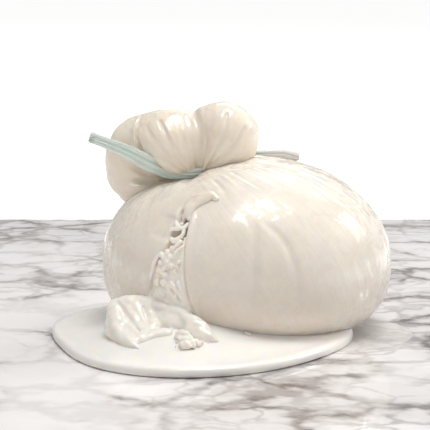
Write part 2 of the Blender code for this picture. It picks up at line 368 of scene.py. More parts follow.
@dataclass(frozen=True)
class WheyFinish:
    """A thin film of whey that lets the marble show through."""

    name: str
    colour: Place = (0.98, 0.96, 0.93)
    cover: float = 0.40

    def make(self) -> bpy.types.Material:
        """Build the material, thinner where the film's own attribute says so.

        Returns:
            The material.
        """
        bench = ShaderBench(self.name)
        depth = Value(bench, bench.attribute("film").outputs["Fac"])
        cloud = bench.noise(bench.place(), 110.0, 3.0).between(0.2, 0.8)
        cover = (depth * (self.cover + 0.15 * cloud)).clamped()
        return bench.dress(Base_Color=rgba(self.colour), Roughness=0.10, IOR=1.34, Alpha=cover)


@dataclass(frozen=True)
class StripFinish:
    """The pale green strip: long pale and green streaks along it, narrower grey streaks of painted shade,
    and a paler far end.
    """

    name: str
    green: Place = (0.60, 0.71, 0.63)
    pale: Place = (0.83, 0.84, 0.82)
    # Grey of the painted shade streaks.
    shade: Place = (0.50, 0.52, 0.52)
    # Near white that the strip turns to towards its far, right-hand end.
    end_white: Place = (0.93, 0.935, 0.92)

    def make(self) -> bpy.types.Material:
        """Build the material on the strip's own lengthwise coordinates.

        Returns:
            The material.
        """
        bench = ShaderBench(self.name)
        grain = bench.attribute("grain").outputs["Vector"]
        streak = bench.noise(grain, 1.0, 4.0, 0.6)
        close = bench.node("ShaderNodeVectorMath", {"operation": "SCALE"}, {0: grain, "Scale": 3.1})
        narrow = bench.noise(close.outputs[0], 1.0, 2.0)
        colour = bench.blend(streak.between(0.42, 0.62), rgba(self.green), rgba(self.pale))
        # Narrower grey streaks of painted shade, laid into the strip's colour.
        colour = bench.blend(narrow.between(0.55, 0.75) * 0.6, colour, rgba(self.shade))
        # The colour turns paler, nearly white, towards the strip's far right end.
        along = Value(bench, bench.node("ShaderNodeSeparateXYZ", {}, {"Vector": grain}).outputs["Z"])
        colour = bench.blend(along.between(3.9, 4.7) * 0.8, colour, rgba(self.end_white))
        return bench.dress(
            Base_Color=colour,
            Roughness=0.34 + 0.2 * streak,
            Normal=bench.bump(streak + 0.5 * narrow, 0.6, 0.12 * MM),
            IOR=1.45,
            Subsurface_Weight=0.25,
            Subsurface_Radius=(0.8, 1.0, 0.7),
            Subsurface_Scale=0.8 * MM,
        )


@dataclass(frozen=True)
class MarbleFinish:
    """Polished white marble with a network of grey-brown veins."""

    name: str
    white: Place = (0.92, 0.90, 0.90)
    cloud: Place = (0.80, 0.78, 0.78)
    vein: Place = (0.34, 0.31, 0.305)
    core: Place = (0.15, 0.125, 0.115)
    cells: float = 30.0
    fine_cells: float = 63.0
    warp_scale: float = 22.0
    warp_reach: float = 0.045

    def _veins(self, bench: ShaderBench, where: Any, cells: float, width: float) -> Value:
        """Thin lines between the cells of a warped network, 1 on the line and 0 away from it.

        Args:
            bench: the material.
            where: the warped place.
            cells: how many cells a metre holds.
            width: how wide a line is, as a share of a cell.

        Returns:
            The lines.
        """
        settings = {"feature": "DISTANCE_TO_EDGE"}
        edge = bench.node("ShaderNodeTexVoronoi", settings, {"Vector": where, "Scale": cells})
        return 1.0 - Value(bench, edge.outputs["Distance"]).between(0.0, width)

    def make(self) -> bpy.types.Material:
        """Build the material.

        Returns:
            The material.
        """
        bench = ShaderBench(self.name)
        where = bench.place()
        values = {"Vector": where, "Scale": self.warp_scale, "Detail": 4.0, "Roughness": 0.6}
        warp = bench.node("ShaderNodeTexNoise", {}, values)
        values = {0: warp.outputs["Color"], 1: (0.5, 0.5, 0.5)}
        shift = bench.node("ShaderNodeVectorMath", {"operation": "SUBTRACT"}, values)
        values = {0: shift.outputs[0], 1: (self.warp_reach,) * 3, 2: where}
        bend = bench.node("ShaderNodeVectorMath", {"operation": "MULTIPLY_ADD"}, values).outputs[0]
        coarse = self._veins(bench, bend, self.cells, 0.15)
        shade = self._veins(bench, bend, self.cells, 0.42)
        fine = self._veins(bench, bend, self.fine_cells, 0.17)
        patch = bench.noise(where, 14.0, 4.0, 0.6)
        blotch = bench.noise(where, 60.0, 5.0, 0.65)
        haze = bench.noise(where, 18.0, 5.0, 0.6).between(0.35, 0.75)
        strong = patch.between(0.40, 0.62)
        broad = coarse ** 1.3 * (0.3 + 0.7 * strong)
        narrow = fine ** 1.7 * 0.75 * patch.between(0.42, 0.60)
        dark = (coarse ** 2.6 * strong * blotch.between(0.42, 0.58)).clamped()
        colour = bench.blend(haze, rgba(self.white), rgba(self.cloud))
        colour = bench.blend(shade ** 1.5 * 0.35 * strong, colour, rgba(self.vein))
        colour = bench.blend((broad + narrow).clamped() * 0.8, colour, rgba(self.vein))
        colour = bench.blend(dark, colour, rgba(self.core))
        return bench.dress(
            Base_Color=colour,
            Roughness=0.025 + 0.02 * blotch,
            IOR=1.50,
            Subsurface_Weight=0.0,
        )


class Milk(Enum):
    """The milky bodies that the pieces share."""

    SKIN = MilkBody((0.84, 0.785, 0.71), (0.78, 0.71, 0.615), 0.35, 0.6, 1.3 * MM)
    KNOT = MilkBody((0.83, 0.755, 0.66), (0.75, 0.665, 0.55), 0.39, 0.6, 1.1 * MM)
    CURD = MilkBody((0.965, 0.90, 0.84), (0.945, 0.87, 0.785), 0.22, 0.6, 0.6 * MM)
    CREAM = MilkBody((0.985, 0.925, 0.885), (0.975, 0.905, 0.86), 0.09, 0.7, 1.5 * MM)


# ---------------------------------------------------------------------------------------------
# Shape helpers
# ---------------------------------------------------------------------------------------------


def smooth(low: float, high: float, value: Array) -> Array:
    """Ease a value from 0 at a low mark to 1 at a high mark."""
    share = np.clip((value - low) / (high - low), 0.0, 1.0)
    return share * share * (3.0 - 2.0 * share)


def hashed(cells: Array, seed: int) -> Array:
    """A repeatable random number from -1 to 1 for each whole-number cell.

    Args:
        cells: whole numbers, three a row.
        seed: which numbers to take.

    Returns:
        One number for each cell.
    """
    mixed = cells.astype(np.int64)
    number = sum(mixed[..., axis] * mixer for axis, mixer in enumerate(MIXERS)) + seed * LAST_MIXER
    number = (number ^ (number >> 13)) * LAST_MIXER
    number = (number ^ (number >> 16)) & LOW_BITS
    return number / float(LOW_BITS) * 2.0 - 1.0


def soft_noise(places: Array, size: float, seed: int, octaves: int = 1) -> Array:
    """Smooth noise from about -1 to 1.

    Args:
        places: points, one a row.
        size: the width of one soft lump, in the same unit.
        seed: which noise to take.
        octaves: how many finer layers to add, each half as wide and half as strong.

    Returns:
        One number for each point.
    """
    total = np.zeros(len(places))
    strength = 1.0
    for layer in range(octaves):
        scaled = places / size + 17.3 * (layer + 1)
        cell = np.floor(scaled)
        share = scaled - cell
        share = share * share * (3.0 - 2.0 * share)
        value = np.zeros(len(places))
        for corner in range(8):
            step = np.array([corner & 1, (corner >> 1) & 1, (corner >> 2) & 1])
            weight = np.prod(np.where(step, share, 1.0 - share), axis=1)
            value += weight * hashed(cell + step, seed + layer)
        total += value * strength
        size *= 0.5
        strength *= 0.5
    return total


def make_piece(name: str, points: Array, faces: Iterable[Sequence[int]]) -> bpy.types.Object:
    """Make a mesh object at the origin from points and faces.

    Args:
        name: the piece's name.
        points: its vertices, in metres.
        faces: its faces as vertex numbers.

    Returns:
        The new object, shaded smooth.
    """
    mesh = bpy.data.meshes.new(name)
    mesh.from_pydata(np.asarray(points, dtype=float).tolist(), [], [list(face) for face in faces])
    mesh.update()
    mesh.shade_smooth()
    piece = bpy.data.objects.new(name, mesh)
    bpy.context.scene.collection.objects.link(piece)
    return piece


def grid_faces(rows: int, columns: int) -> list[tuple[int, int, int, int]]:
    """Faces of a closed tube of rings, each ring with the same number of points.

    Args:
        rows: how many rings.
        columns: how many points a ring has.

    Returns:
        The faces as point numbers.
    """
    faces = []
    for row in range(rows - 1):
        for column in range(columns):
            there = (column + 1) % columns
            low, high = row * columns, (row + 1) * columns
            faces.append((low + column, low + there, high + there, high + column))
    return faces


def closed_grid(name: str, rings: Array, low: Array, high: Array) -> bpy.types.Object:
    """Make a closed piece from rings of points, with a point that closes each end.

    Args:
        name: the piece's name.
        rings: points by ring and by place in the ring.
        low: the point that closes the first ring.
        high: the point that closes the last ring.

    Returns:
        The new object.
    """
    rows, columns = rings.shape[:2]
    faces: list[Sequence[int]] = list(grid_faces(rows, columns))
    first, last = rows * columns, rows * columns + 1
    for column in range(columns):
        there = (column + 1) % columns
        faces.append((there, column, first))
        faces.append(((rows - 1) * columns + column, (rows - 1) * columns + there, last))
    return make_piece(name, np.vstack([rings.reshape(-1, 3), low, high]), faces)


def read_points(piece: bpy.types.Object) -> Array:
    """The piece's vertices as an array.

    Args:
        piece: the piece.

    Returns:
        Its vertices, one a row.
    """
    points = np.empty(len(piece.data.vertices) * 3)
    piece.data.vertices.foreach_get("co", points)
    return points.reshape(-1, 3)


def read_normals(piece: bpy.types.Object) -> Array:
    """The piece's vertex normals as an array.

    Args:
        piece: the piece.

    Returns:
        Its normals, one a row.
    """
    normals = np.empty(len(piece.data.vertices) * 3)
    piece.data.vertices.foreach_get("normal", normals)
    return normals.reshape(-1, 3)


def write_points(piece: bpy.types.Object, points: Array) -> None:
    """Move the piece's vertices."""
    piece.data.vertices.foreach_set("co", np.ascontiguousarray(points, dtype=np.float32).ravel())
    piece.data.update()


def write_vector(piece: bpy.types.Object, name: str, values: Array) -> None:
    """Store a vector for each vertex under a name that a material can read."""
    store = piece.data.attributes.new(name, "FLOAT_VECTOR", "POINT")
    store.data.foreach_set("vector", np.ascontiguousarray(values, dtype=np.float32).ravel())


def write_number(piece: bpy.types.Object, name: str, values: Array) -> None:
    """Store a number for each vertex under a name that a material can read."""
    store = piece.data.attributes.new(name, "FLOAT", "POINT")
    store.data.foreach_set("value", np.ascontiguousarray(values, dtype=np.float32).ravel())


def face_outwards(piece: bpy.types.Object) -> None:
    """Turn every face outwards.

    Args:
        piece: the piece, closed.
    """
    mesh = bmesh.new()
    mesh.from_mesh(piece.data)
    bmesh.ops.recalc_face_normals(mesh, faces=mesh.faces)
    mesh.to_mesh(piece.data)
    mesh.free()
    piece.data.update()


def settle_modifiers(piece: bpy.types.Object) -> None:
    """Turn the piece as its modifiers make it into a plain mesh, and take the modifiers off.

    Args:
        piece: the piece.
    """
    graph = bpy.context.evaluated_depsgraph_get()
    mesh = bpy.data.meshes.new_from_object(piece.evaluated_get(graph))
    piece.modifiers.clear()
    old = piece.data
    piece.data = mesh
    mesh.name = piece.name
    bpy.data.meshes.remove(old)


def distance_to_route(places: Array, route: Array) -> tuple[Array, Array]:
    """How far each place is from a broken line, and how far along it the nearest point lies.

    Args:
        places: points, one a row.
        route: the line's points, one a row.

    Returns:
        The distances, and the shares of the line's length from 0 to 1.
    """
    best = np.full(len(places), np.inf)
    along = np.zeros(len(places))
    lengths = np.linalg.norm(np.diff(route, axis=0), axis=1)
    total = lengths.sum()
    done = 0.0
    for start, end, length in zip(route, route[1:], lengths):
        run = end - start
        share = np.clip(((places - start) @ run) / (run @ run), 0.0, 1.0)
        gap = np.linalg.norm(places - start - share[:, None] * run, axis=1)
        nearer = gap < best
        best = np.where(nearer, gap, best)
        along = np.where(nearer, (done + share * length) / total, along)
        done += length
    return best, along


def curve_through(points: Sequence[Sequence[float]], steps: int) -> Array:
    """A smooth curve through points, by the Catmull-Rom rule.

    Args:
        points: the points, one a row, of any width.
        steps: how many points to put in each stretch.

    Returns:
        The curve's points, one a row.
    """
    given = np.asarray(points, dtype=float)
    padded = np.vstack([2.0 * given[0] - given[1], given, 2.0 * given[-1] - given[-2]])
    curve = []
    for before, start, end, after in zip(padded, padded[1:], padded[2:], padded[3:]):
        for step in range(steps):
            share = step / steps
            curve.append(0.5 * (
                2.0 * start
                + (end - before) * share
                + (2.0 * before - 5.0 * start + 4.0 * end - after) * share ** 2
                + (3.0 * start - before - 3.0 * end + after) * share ** 3
            ))
    curve.append(given[-1])
    return np.array(curve)


class Mass:
    """A soft mass on a fine grid, in millimetres: rounded forms that melt into each other."""

    far: float = 6.0

    def __init__(self, name: str, low: Place, high: Place, cube: float) -> None:
        """Start an empty mass.

        Args:
            name: the piece's name.
            low: the lowest corner of its room.
            high: the highest corner.
            cube: the width of a cube of the grid.
        """
        self.name = name
        self.low = np.array(low)
        self.cube = cube
        self.axes = [np.arange(start, end, cube) for start, end in zip(low, high)]
        self.gaps = np.full([len(axis) for axis in self.axes], self.far)

    def near(self, low: Array, high: Array) -> tuple[tuple[slice, ...], Array]:
        """The part of the grid inside a box.

        Args:
            low: the box's lowest corner.
            high: its highest corner.

        Returns:
            The slices of the grid, and the places of its points, one a row.
        """
        part = []
        for axis, start, end in zip(self.axes, low, high):
            first, last = np.searchsorted(axis, (start, end))
            part.append(slice(int(first), int(max(last, first + 1))))
        grid = np.meshgrid(*(axis[cut] for axis, cut in zip(self.axes, part)), indexing="ij")
        return tuple(part), np.stack([line.ravel() for line in grid], axis=1)

    def melt(self, part: tuple[slice, ...], gaps: Array, blend: float) -> None:
        """Add a form, given by its distances, and round the join.

        Args:
            part: the slices of the grid that the form reaches.
            gaps: how far each point there lies outside the form.
            blend: how far the join is rounded.
        """
        here = self.gaps[part]
        gaps = gaps.reshape(here.shape)
        share = np.clip(0.5 + 0.5 * (here - gaps) / blend, 0.0, 1.0)
        self.gaps[part] = here * (1.0 - share) + gaps * share - blend * share * (1.0 - share)

    def carve(self, part: tuple[slice, ...], gaps: Array, blend: float) -> None:
        """Take a form away and round the edge.

        Args:
            part: the slices of the grid that the form reaches.
            gaps: how far each point there lies outside the form.
            blend: how far the edge is rounded.
        """
        self.gaps[part] *= -1.0
        self.melt(part, gaps, blend)
        self.gaps[part] *= -1.0

    def ball(self, bead: Bead, blend: float) -> None:
        """Add a ball, given as a place and a radius.

        Args:
            bead: the ball's middle and its radius.
            blend: how far the join is rounded.
        """
        place, radius = np.array(bead[:3]), bead[3]
        reach = radius + blend + 1.0
        part, points = self.near(place - reach, place + reach)
        self.melt(part, np.linalg.norm(points - place, axis=1) - radius, blend)

    def roll(self, route: Roll, blend: float, hollow: bool = False) -> None:
        """Add or take away a roll along a smooth line.

        Args:
            route: the line's points, each with the roll's radius there.
            blend: how far the join is rounded.
            hollow: take the roll away instead.
        """
        spine = curve_through(route, 4)
        reach = spine[:, 3].max() + blend + 1.0
        part, points = self.near(spine[:, :3].min(axis=0) - reach, spine[:, :3].max(axis=0) + reach)
        best = np.full(len(points), np.inf)
        for start, end in zip(spine, spine[1:]):
            run = end[:3] - start[:3]
            share = np.clip((points - start[:3]) @ run / max(run @ run, 1e-9), 0.0, 1.0)
            gap = np.linalg.norm(points - start[:3] - share[:, None] * run, axis=1)
            best = np.minimum(best, gap - (start[3] + (end[3] - start[3]) * share))
        (self.carve if hollow else self.melt)(part, best, blend)

    def piece(self) -> bpy.types.Object:
        """Turn the mass's surface into a closed mesh, in metres, one point in each cube that it crosses.

        Returns:
            The piece.
        """
        corners = [(x, y, z) for x in (0, 1) for y in (0, 1) for z in (0, 1)]
        size = np.array(self.gaps.shape) - 1

        def shifted(corner: Sequence[int]) -> Array:
            """The grid's values at one corner of every cube."""
            return self.gaps[tuple(slice(step, step + int(room)) for step, room in zip(corner, size))]

        count = sum((shifted(corner) < 0.0).astype(np.int8) for corner in corners)
        crossed = (count > 0) & (count < 8)
        number = np.full(crossed.shape, -1)
        number[crossed] = np.arange(int(crossed.sum()))
        total, hits = np.zeros((int(crossed.sum()), 3)), np.zeros(int(crossed.sum()))
        faces = []
        for axis in range(3):
            along = np.eye(3, dtype=int)[axis]
            for corner in corners:
                if corner[axis]:
                    continue
                first, last = shifted(corner)[crossed], shifted(tuple(corner + along))[crossed]
                cut = (first < 0.0) != (last < 0.0)
                share = np.where(cut, first / np.where(cut, first - last, 1.0), 0.0)
                total += cut[:, None] * (np.array(corner) + share[:, None] * along)
                hits += cut
            left, right = [other for other in range(3) if other != axis]
            room = [slice(None)] * 3
            room[left] = room[right] = slice(1, -1)
            start, end = list(room), list(room)
            start[axis], end[axis] = slice(None, -1), slice(1, None)
            first, last = self.gaps[tuple(start)] < 0.0, self.gaps[tuple(end)] < 0.0
            ring = []
            for back_left, back_right in ((1, 1), (0, 1), (0, 0), (1, 0)):
                cells = [slice(None)] * 3
                cells[left] = slice(None, -1) if back_left else slice(1, None)
                cells[right] = slice(None, -1) if back_right else slice(1, None)
                ring.append(number[tuple(cells)])
            for wanted, order in ((first & ~last, 1), (~first & last, -1)):
                quads = np.stack([cell[wanted] for cell in ring], axis=1)
                faces.append(quads[:, ::order * (1 if axis != 1 else -1)])
        where = np.stack(np.nonzero(crossed), axis=1)
        points = (where + total / hits[:, None]) * self.cube + self.low
        return make_piece(self.name, points * MM, np.vstack(faces).tolist())


# ---------------------------------------------------------------------------------------------
# The cheese
# ---------------------------------------------------------------------------------------------


@dataclass(frozen=True)
class Crease:
    """A soft groove or ridge that runs along a route on the skin."""

    route: tuple[Place, ...]
    width: float
    depth: float

    def shift(self, places: Array) -> Array:
        """How far it moves each place outwards, fading towards its ends.

        Args:
            places: points on the skin, one a row, in metres.

        Returns:
            The shifts, in metres.
        """
        gap, along = distance_to_route(places, curve_through(np.array(self.route) * MM, 5))
        fade = smooth(0.0, 0.18, along) * smooth(1.0, 0.82, along)
        return -self.depth * MM * np.exp(-((gap / (self.width * MM)) ** 2)) * (0.25 + 0.75 * fade)


@dataclass
class Tear:
    """The opening in the skin: the angles of its edges at each height."""

    heights: tuple[float, ...] = (
        4.0, 8.0, 12.0, 15.0, 20.0, 26.0, 28.7, 30.7, 32.8, 36.1, 39.8, 42.3, 44.6, 45.8, 47.2,
    )
    left: tuple[float, ...] = (
        -30.0, -34.0, -39.0, -40.5, -40.6, -39.1, -38.2, -36.8, -34.8, -34.0, -33.9, -33.0, -33.6, -33.3,
        -31.3,
    )
    right: tuple[float, ...] = (
        -20.5, -20.5, -20.7, -21.8, -23.1, -24.4, -24.8, -25.1, -25.5, -25.9, -26.4, -26.8, -27.5, -27.9,
        -29.8,
    )
    depth: float = 5.2 * MM
    foot_fade: float = 2.5
    head_fade: float = 1.4

    def edges(self, height: Array) -> tuple[Array, Array]:
        """The left and right edge angles, in degrees, at heights in metres."""
        marks = np.array(self.heights) * MM
        return np.interp(height, marks, self.left), np.interp(height, marks, self.right)

    def inside(self, places: Array) -> tuple[Array, Array, Array]:
        """How far places lie inside the tear.

        Args:
            places: points on the skin, one a row, in metres.

        Returns:
            The distances inside its left and its right edge, in metres, and 1 within its height,
            eased to 0 beyond it.
        """
        angle = np.degrees(np.arctan2(places[:, 0], -places[:, 1]))
        radius = np.hypot(places[:, 0], places[:, 1])
        left, right = self.edges(places[:, 2])
        low, high = self.heights[0], self.heights[-1]
        span = smooth(low * MM, (low + self.foot_fade) * MM, places[:, 2])
        span *= smooth(high * MM, (high - self.head_fade) * MM, places[:, 2])
        return np.radians(angle - left) * radius, np.radians(right - angle) * radius, span

    def shift(self, places: Array) -> Array:
        """How far the tear moves the skin outwards: a groove with rolled edges.

        Args:
            places: points on the skin, one a row, in metres.

        Returns:
            The shifts, in metres.
        """
        wobble = soft_noise(places, 3.2 * MM, Seed.TEAR_EDGE, 2) * 0.35 * MM
        left, right, span = self.inside(places)
        left, right = left + wobble, right + 0.35 * wobble
        groove = smooth(-0.6 * MM, 2.2 * MM, left) * smooth(-0.25 * MM, 1.1 * MM, right)
        near = smooth(-6.0 * MM, 0.0, left) * smooth(-6.0 * MM, 0.0, right)
        rolls = self.edge_roll(right, left, 0.55 * MM, 1.2 * MM)
        rolls += self.edge_roll(left, right, 0.45 * MM, 2.0 * MM)
        return span * (-self.depth * groove + near * rolls)

    def edge_roll(self, inside: Array, across: Array, height: float, width: float) -> Array:
        """A rounded roll just outside one edge of the tear.

        Args:
            inside: how far each place lies inside that edge.
            across: how far it lies inside the other edge.
            height: the roll's height.
            width: half of its width.

        Returns:
            The roll's height at each place.
        """
        return height * np.exp(-(((inside + width) / width) ** 2)) * smooth(-2 * MM, 2 * MM, across)


def spaced(values: Array, weights: Array, shares: Array) -> Array:
    """Pick values so that they lie closer together where they weigh more.

    Args:
        values: evenly spaced values.
        weights: how closely to pick around each of them.
        shares: how far through the whole weight each pick lies, from 0 to 1.

    Returns:
        The picked values.
    """
    total = np.concatenate([[0.0], np.cumsum(0.5 * (weights[1:] + weights[:-1]))])
    return np.interp(shares * total[-1], total, values)


@dataclass
class Pouch:
    """The skin's rounded body, modelled on lines that run out from the neck and down round the belly."""

    foot: Array
    radius: float = 50.0 * MM
    girth: float = 23.2 * MM
    crown: float = 59.4 * MM
    belly: float = 29.0 * MM
    crown_fullness: float = 2.1
    belly_fullness: float = 2.5
    floor: float = 0.3 * MM
    neck: Place = (-20.0 * MM, -1.0 * MM, 55.5 * MM)
    neck_dip: float = 4.6 * MM
    grain_pace: float = 0.09
    front_left: tuple[float, float] = (-1.75, -1.30)
    front_right: tuple[float, float] = (2.25, 1.80)
    front_gain: float = 1.5
    above_foot: tuple[float, float] = (2.3, 1.9)
    above_gain: float = 0.8
    samples: int = 4001
    rows: int = 212
    columns: int = 460
    tear: Tear = field(default_factory=Tear)
    creases: tuple[Crease, ...] = (
        Crease(
            (
                (2.6, -40.5, 44.5), (2.4, -45.5, 38.0), (2.1, -48.6, 31.8), (2.1, -49.8, 24.0),
                (2.0, -49.5, 15.0),
            ),
            1.5,
            0.70,
        ),
        Crease(
            (
                (4.8, -42.2, 43.2), (9.5, -44.5, 40.0), (12.8, -45.5, 35.5), (15.7, -47.1, 27.0),
                (16.8, -46.6, 15.0),
            ),
            1.4,
            0.56,
        ),
        Crease(((4.4, -46.5, 36.0), (5.0, -49.0, 27.0), (5.0, -49.0, 18.0)), 2.6, -0.40),
        Crease(
            ((-4.0, -18.4, 57.2), (4.5, -11.0, 58.6), (12.9, -13.4, 57.2), (19.0, -15.0, 54.5)),
            2.4,
            1.00,
        ),
        Crease(((-8.0, -22.0, 55.5), (2.0, -17.0, 57.0), (10.0, -19.0, 55.8)), 1.5, -0.45),
        Crease(((-24.0, -33.0, 44.0), (-27.0, -35.5, 40.0), (-29.0, -37.0, 36.0)), 3.4, 1.10),
        Crease(((-12.0, -22.0, 54.5), (-9.0, -28.0, 52.5), (-6.5, -34.0, 49.0)), 0.8, 0.85),
        Crease(((-9.0, -21.0, 55.5), (-5.0, -27.0, 53.0), (-1.5, -33.0, 49.5)), 0.8, -0.70),
        Crease(((-6.0, -19.0, 56.5), (-1.0, -25.0, 54.0), (3.5, -30.0, 51.0)), 0.8, 0.85),
        Crease(((-14.0, -24.0, 53.0), (-12.5, -29.0, 51.5)), 0.9, -0.40),
        Crease(((-2.0, -48.5, 8.5), (1.0, -48.8, 8.2)), 0.9, 0.35),
    )

    def surface(self, ways: Array) -> Array:
        """Points of the plain body in given directions from the middle of its girth.

        Args:
            ways: directions, one a row, each of length 1.

        Returns:
            The points, in metres.
        """
        across = np.hypot(ways[:, 0], ways[:, 1]) / self.radius
        rise = np.maximum(ways[:, 2], 0.0) / (self.crown - self.girth)
        drop = np.maximum(-ways[:, 2], 0.0) / self.belly
        high, low = self.crown_fullness, self.belly_fullness
        upper = (across ** high + rise ** high) ** (-1.0 / high)
        lower = (across ** low + drop ** low) ** (-1.0 / low)
        reach = np.where(ways[:, 2] >= 0.0, upper, lower)
        limit = (self.girth - self.floor) / np.maximum(-ways[:, 2], 1e-6)
        reach = np.where(ways[:, 2] < 0.0, np.minimum(reach, limit), reach)
        return ways * reach[:, None] + np.array((0.0, 0.0, self.girth))

    def lines(self) -> tuple[Array, Array, Array, Array]:
        """Directions of the grid: where each row and column points.

        Returns:
            The directions by row and column, the turns of the columns, the lifts of the rows, and the axis.
        """
        axis = np.array(self.neck) - np.array((0.0, 0.0, self.girth))
        axis /= np.linalg.norm(axis)
        front = np.array((0.0, -1.0, 0.0))
        front -= axis * (front @ axis)
        front /= np.linalg.norm(front)
        side = np.cross(axis, front)
        turn = np.linspace(-math.pi, math.pi, self.samples)
        weight = 1.0 + self.front_gain * smooth(*self.front_left, turn) * smooth(*self.front_right, turn)
        turns = spaced(turn, weight, np.arange(self.columns) / self.columns)
        lift = np.linspace(0.0, math.pi, self.samples // 2 + 1)
        weight = 1.0 + self.above_gain * smooth(*self.above_foot, lift)
        lifts = spaced(lift, weight, np.linspace(0.0, 1.0, self.rows + 2)[1:-1])
        spoke = np.outer(np.cos(turns), front) + np.outer(np.sin(turns), side)
        ways = np.cos(lifts)[:, None, None] * axis + np.sin(lifts)[:, None, None] * spoke[None]
        return ways, turns, lifts, axis

    def grain(self, turns: Array, runs: Array) -> Array:
        """Coordinates that follow the drawn threads: round the neck closely, and along them slowly."""
        ring = self.radius
        return np.stack([np.cos(turns) * ring, np.sin(turns) * ring, runs * self.grain_pace], axis=1)

    def drawn(self, places: Array, turns: Array, runs: Array) -> Array:
        """Outward shift of the drawn skin: pleats at the neck, threads down the sides, soft lumps.

        Args:
            places: points on the plain body, one a row.
            turns: how far round the neck each lies, in radians.
            runs: how far from the neck each lies along the skin.

        Returns:
            The shifts, in metres.
        """
        grain = self.grain(turns, runs)
        dip = -self.neck_dip * np.exp(-((runs / (14.0 * MM)) ** 2))
        pleats = soft_noise(grain, 11.0 * MM, Seed.NECK_PLEATS) * np.exp(-((runs / (26.0 * MM)) ** 2))
        pleats *= smooth(2 * MM, 9 * MM, runs)
        folds = (1.0 - np.abs(soft_noise(grain + 0.3, 6.0 * MM, Seed.SHOULDER_FOLDS))) ** 3 - 0.3
        folds *= np.exp(-(((runs - 20.0 * MM) / (15.0 * MM)) ** 2))
        degrees = np.degrees(turns)
        right = smooth(42.0, 75.0, degrees) * smooth(190.0, 150.0, degrees)
        left = smooth(-38.0, -62.0, degrees)
        threads = soft_noise(grain, 2.6 * MM, Seed.SIDE_THREADS, 2)
        bands = soft_noise(grain, 7.5 * MM, Seed.SIDE_BANDS)
        lower = smooth(12.0 * MM, 30.0 * MM, runs)
        lumps = soft_noise(places, 24.0 * MM, Seed.SKIN_LUMPS, 2)
        shift = dip + 0.9 * MM * pleats + 0.42 * MM * folds + 0.32 * MM * lumps
        shift += lower * (0.05 + 0.15 * right + 0.10 * left) * MM * threads
        shift += lower * (0.05 + 0.22 * right + 0.16 * left) * MM * bands
        return shift

    def build(self) -> bpy.types.Object:
        """Model the skin's body.

        Returns:
            The piece, with its grain stored for the material.
        """
        ways, turns, lifts, axis = self.lines()
        count = self.rows * self.columns
        flat = ways.reshape(count, 3)
        plain = self.surface(flat)
        grid = plain.reshape(self.rows, self.columns, 3)
        steps = np.linalg.norm(np.diff(grid, axis=0), axis=2)
        start = np.linalg.norm(grid[0] - self.surface(axis[None])[0], axis=1)
        runs = np.vstack([start, start + np.cumsum(steps, axis=0)]).reshape(count)
        turn = np.tile(turns, self.rows)
        shift = self.drawn(plain, turn, runs) + self.tear.shift(plain)
        for crease in self.creases:
            shift += crease.shift(plain)
        shift *= smooth(0.2 * MM, 5.0 * MM, plain[:, 2])
        moved = plain + flat * shift[:, None]
        moved[:, 2] = np.maximum(moved[:, 2], self.floor)
        rings = (moved + self.foot).reshape(self.rows, self.columns, 3)
        tips = self.surface(np.array([axis, -axis])) + self.foot
        tips[0] -= axis * self.neck_dip
        piece = closed_grid("skin", rings, tips[0], tips[1])
        face_outwards(piece)
        ends = np.array([[0.05, 0.0, 0.0], [0.05, 0.0, 0.0]])
        write_vector(piece, "grain", np.vstack([self.grain(turn, runs), ends]) / MM)
        return piece


@dataclass
class Lip:
    """The curled flap at the head of the tear: a rolled rim over a softer face."""

    foot: Array
    rolls: dict[str, Roll] = field(default_factory=lambda: {
        "face": (
            (-19.0, -37.3, 43.4, 0.88), (-18.8, -35.5, 45.3, 1.17), (-17.6, -34.1, 46.9, 1.32),
            (-15.7, -33.6, 48.3, 1.25), (-13.8, -33.4, 49.3, 1.03), (-12.0, -33.3, 50.2, 0.81),
            (-10.6, -34.1, 49.4, 0.59),
        ),
        "rim": (
            (-19.5, -34.4, 46.4, 0.51), (-19.2, -32.8, 48.3, 0.55), (-18.0, -32.1, 49.9, 0.62),
            (-16.6, -32.2, 50.6, 0.62), (-14.8, -32.8, 50.6, 0.58), (-12.8, -32.8, 51.3, 0.58),
            (-11.2, -33.4, 51.0, 0.55), (-10.1, -34.4, 49.8, 0.48),
        ),
        "root": (
            (-20.2, -35.6, 44.2, 0.59), (-20.4, -33.4, 46.3, 0.59), (-19.6, -31.9, 47.8, 0.66),
            (-18.0, -31.3, 49.0, 0.73),
        ),
    })

    core: Roll = (
        (-18.9, -35.2, 45.2, 1.1), (-17.2, -34.0, 47.4, 1.2), (-15.0, -33.4, 48.9, 1.1),
        (-12.4, -33.2, 50.0, 0.8),
    )
    low: Place = (-24.0, -40.0, 40.0)
    high: Place = (-6.0, -27.0, 55.0)
    cube: float = 0.2
    roll_blend: float = 2.0
    core_blend: float = 1.6

    def build(self) -> bpy.types.Object:
        """Model the flap.

        Returns:
            The piece, with its grain stored for the material.
        """
        mass = Mass("lip", self.low, self.high, self.cube)
        for route in self.rolls.values():
            mass.roll(route, self.roll_blend)
        mass.roll(self.core, self.core_blend)
        piece = mass.piece()
        face_outwards(piece)
        points = read_points(piece)
        points += read_normals(piece) * (soft_noise(points, 1.6 * MM, Seed.LIP, 2) * 0.12 * MM)[:, None]
        write_points(piece, points + self.foot)
        write_vector(piece, "grain", points / MM)
        return piece


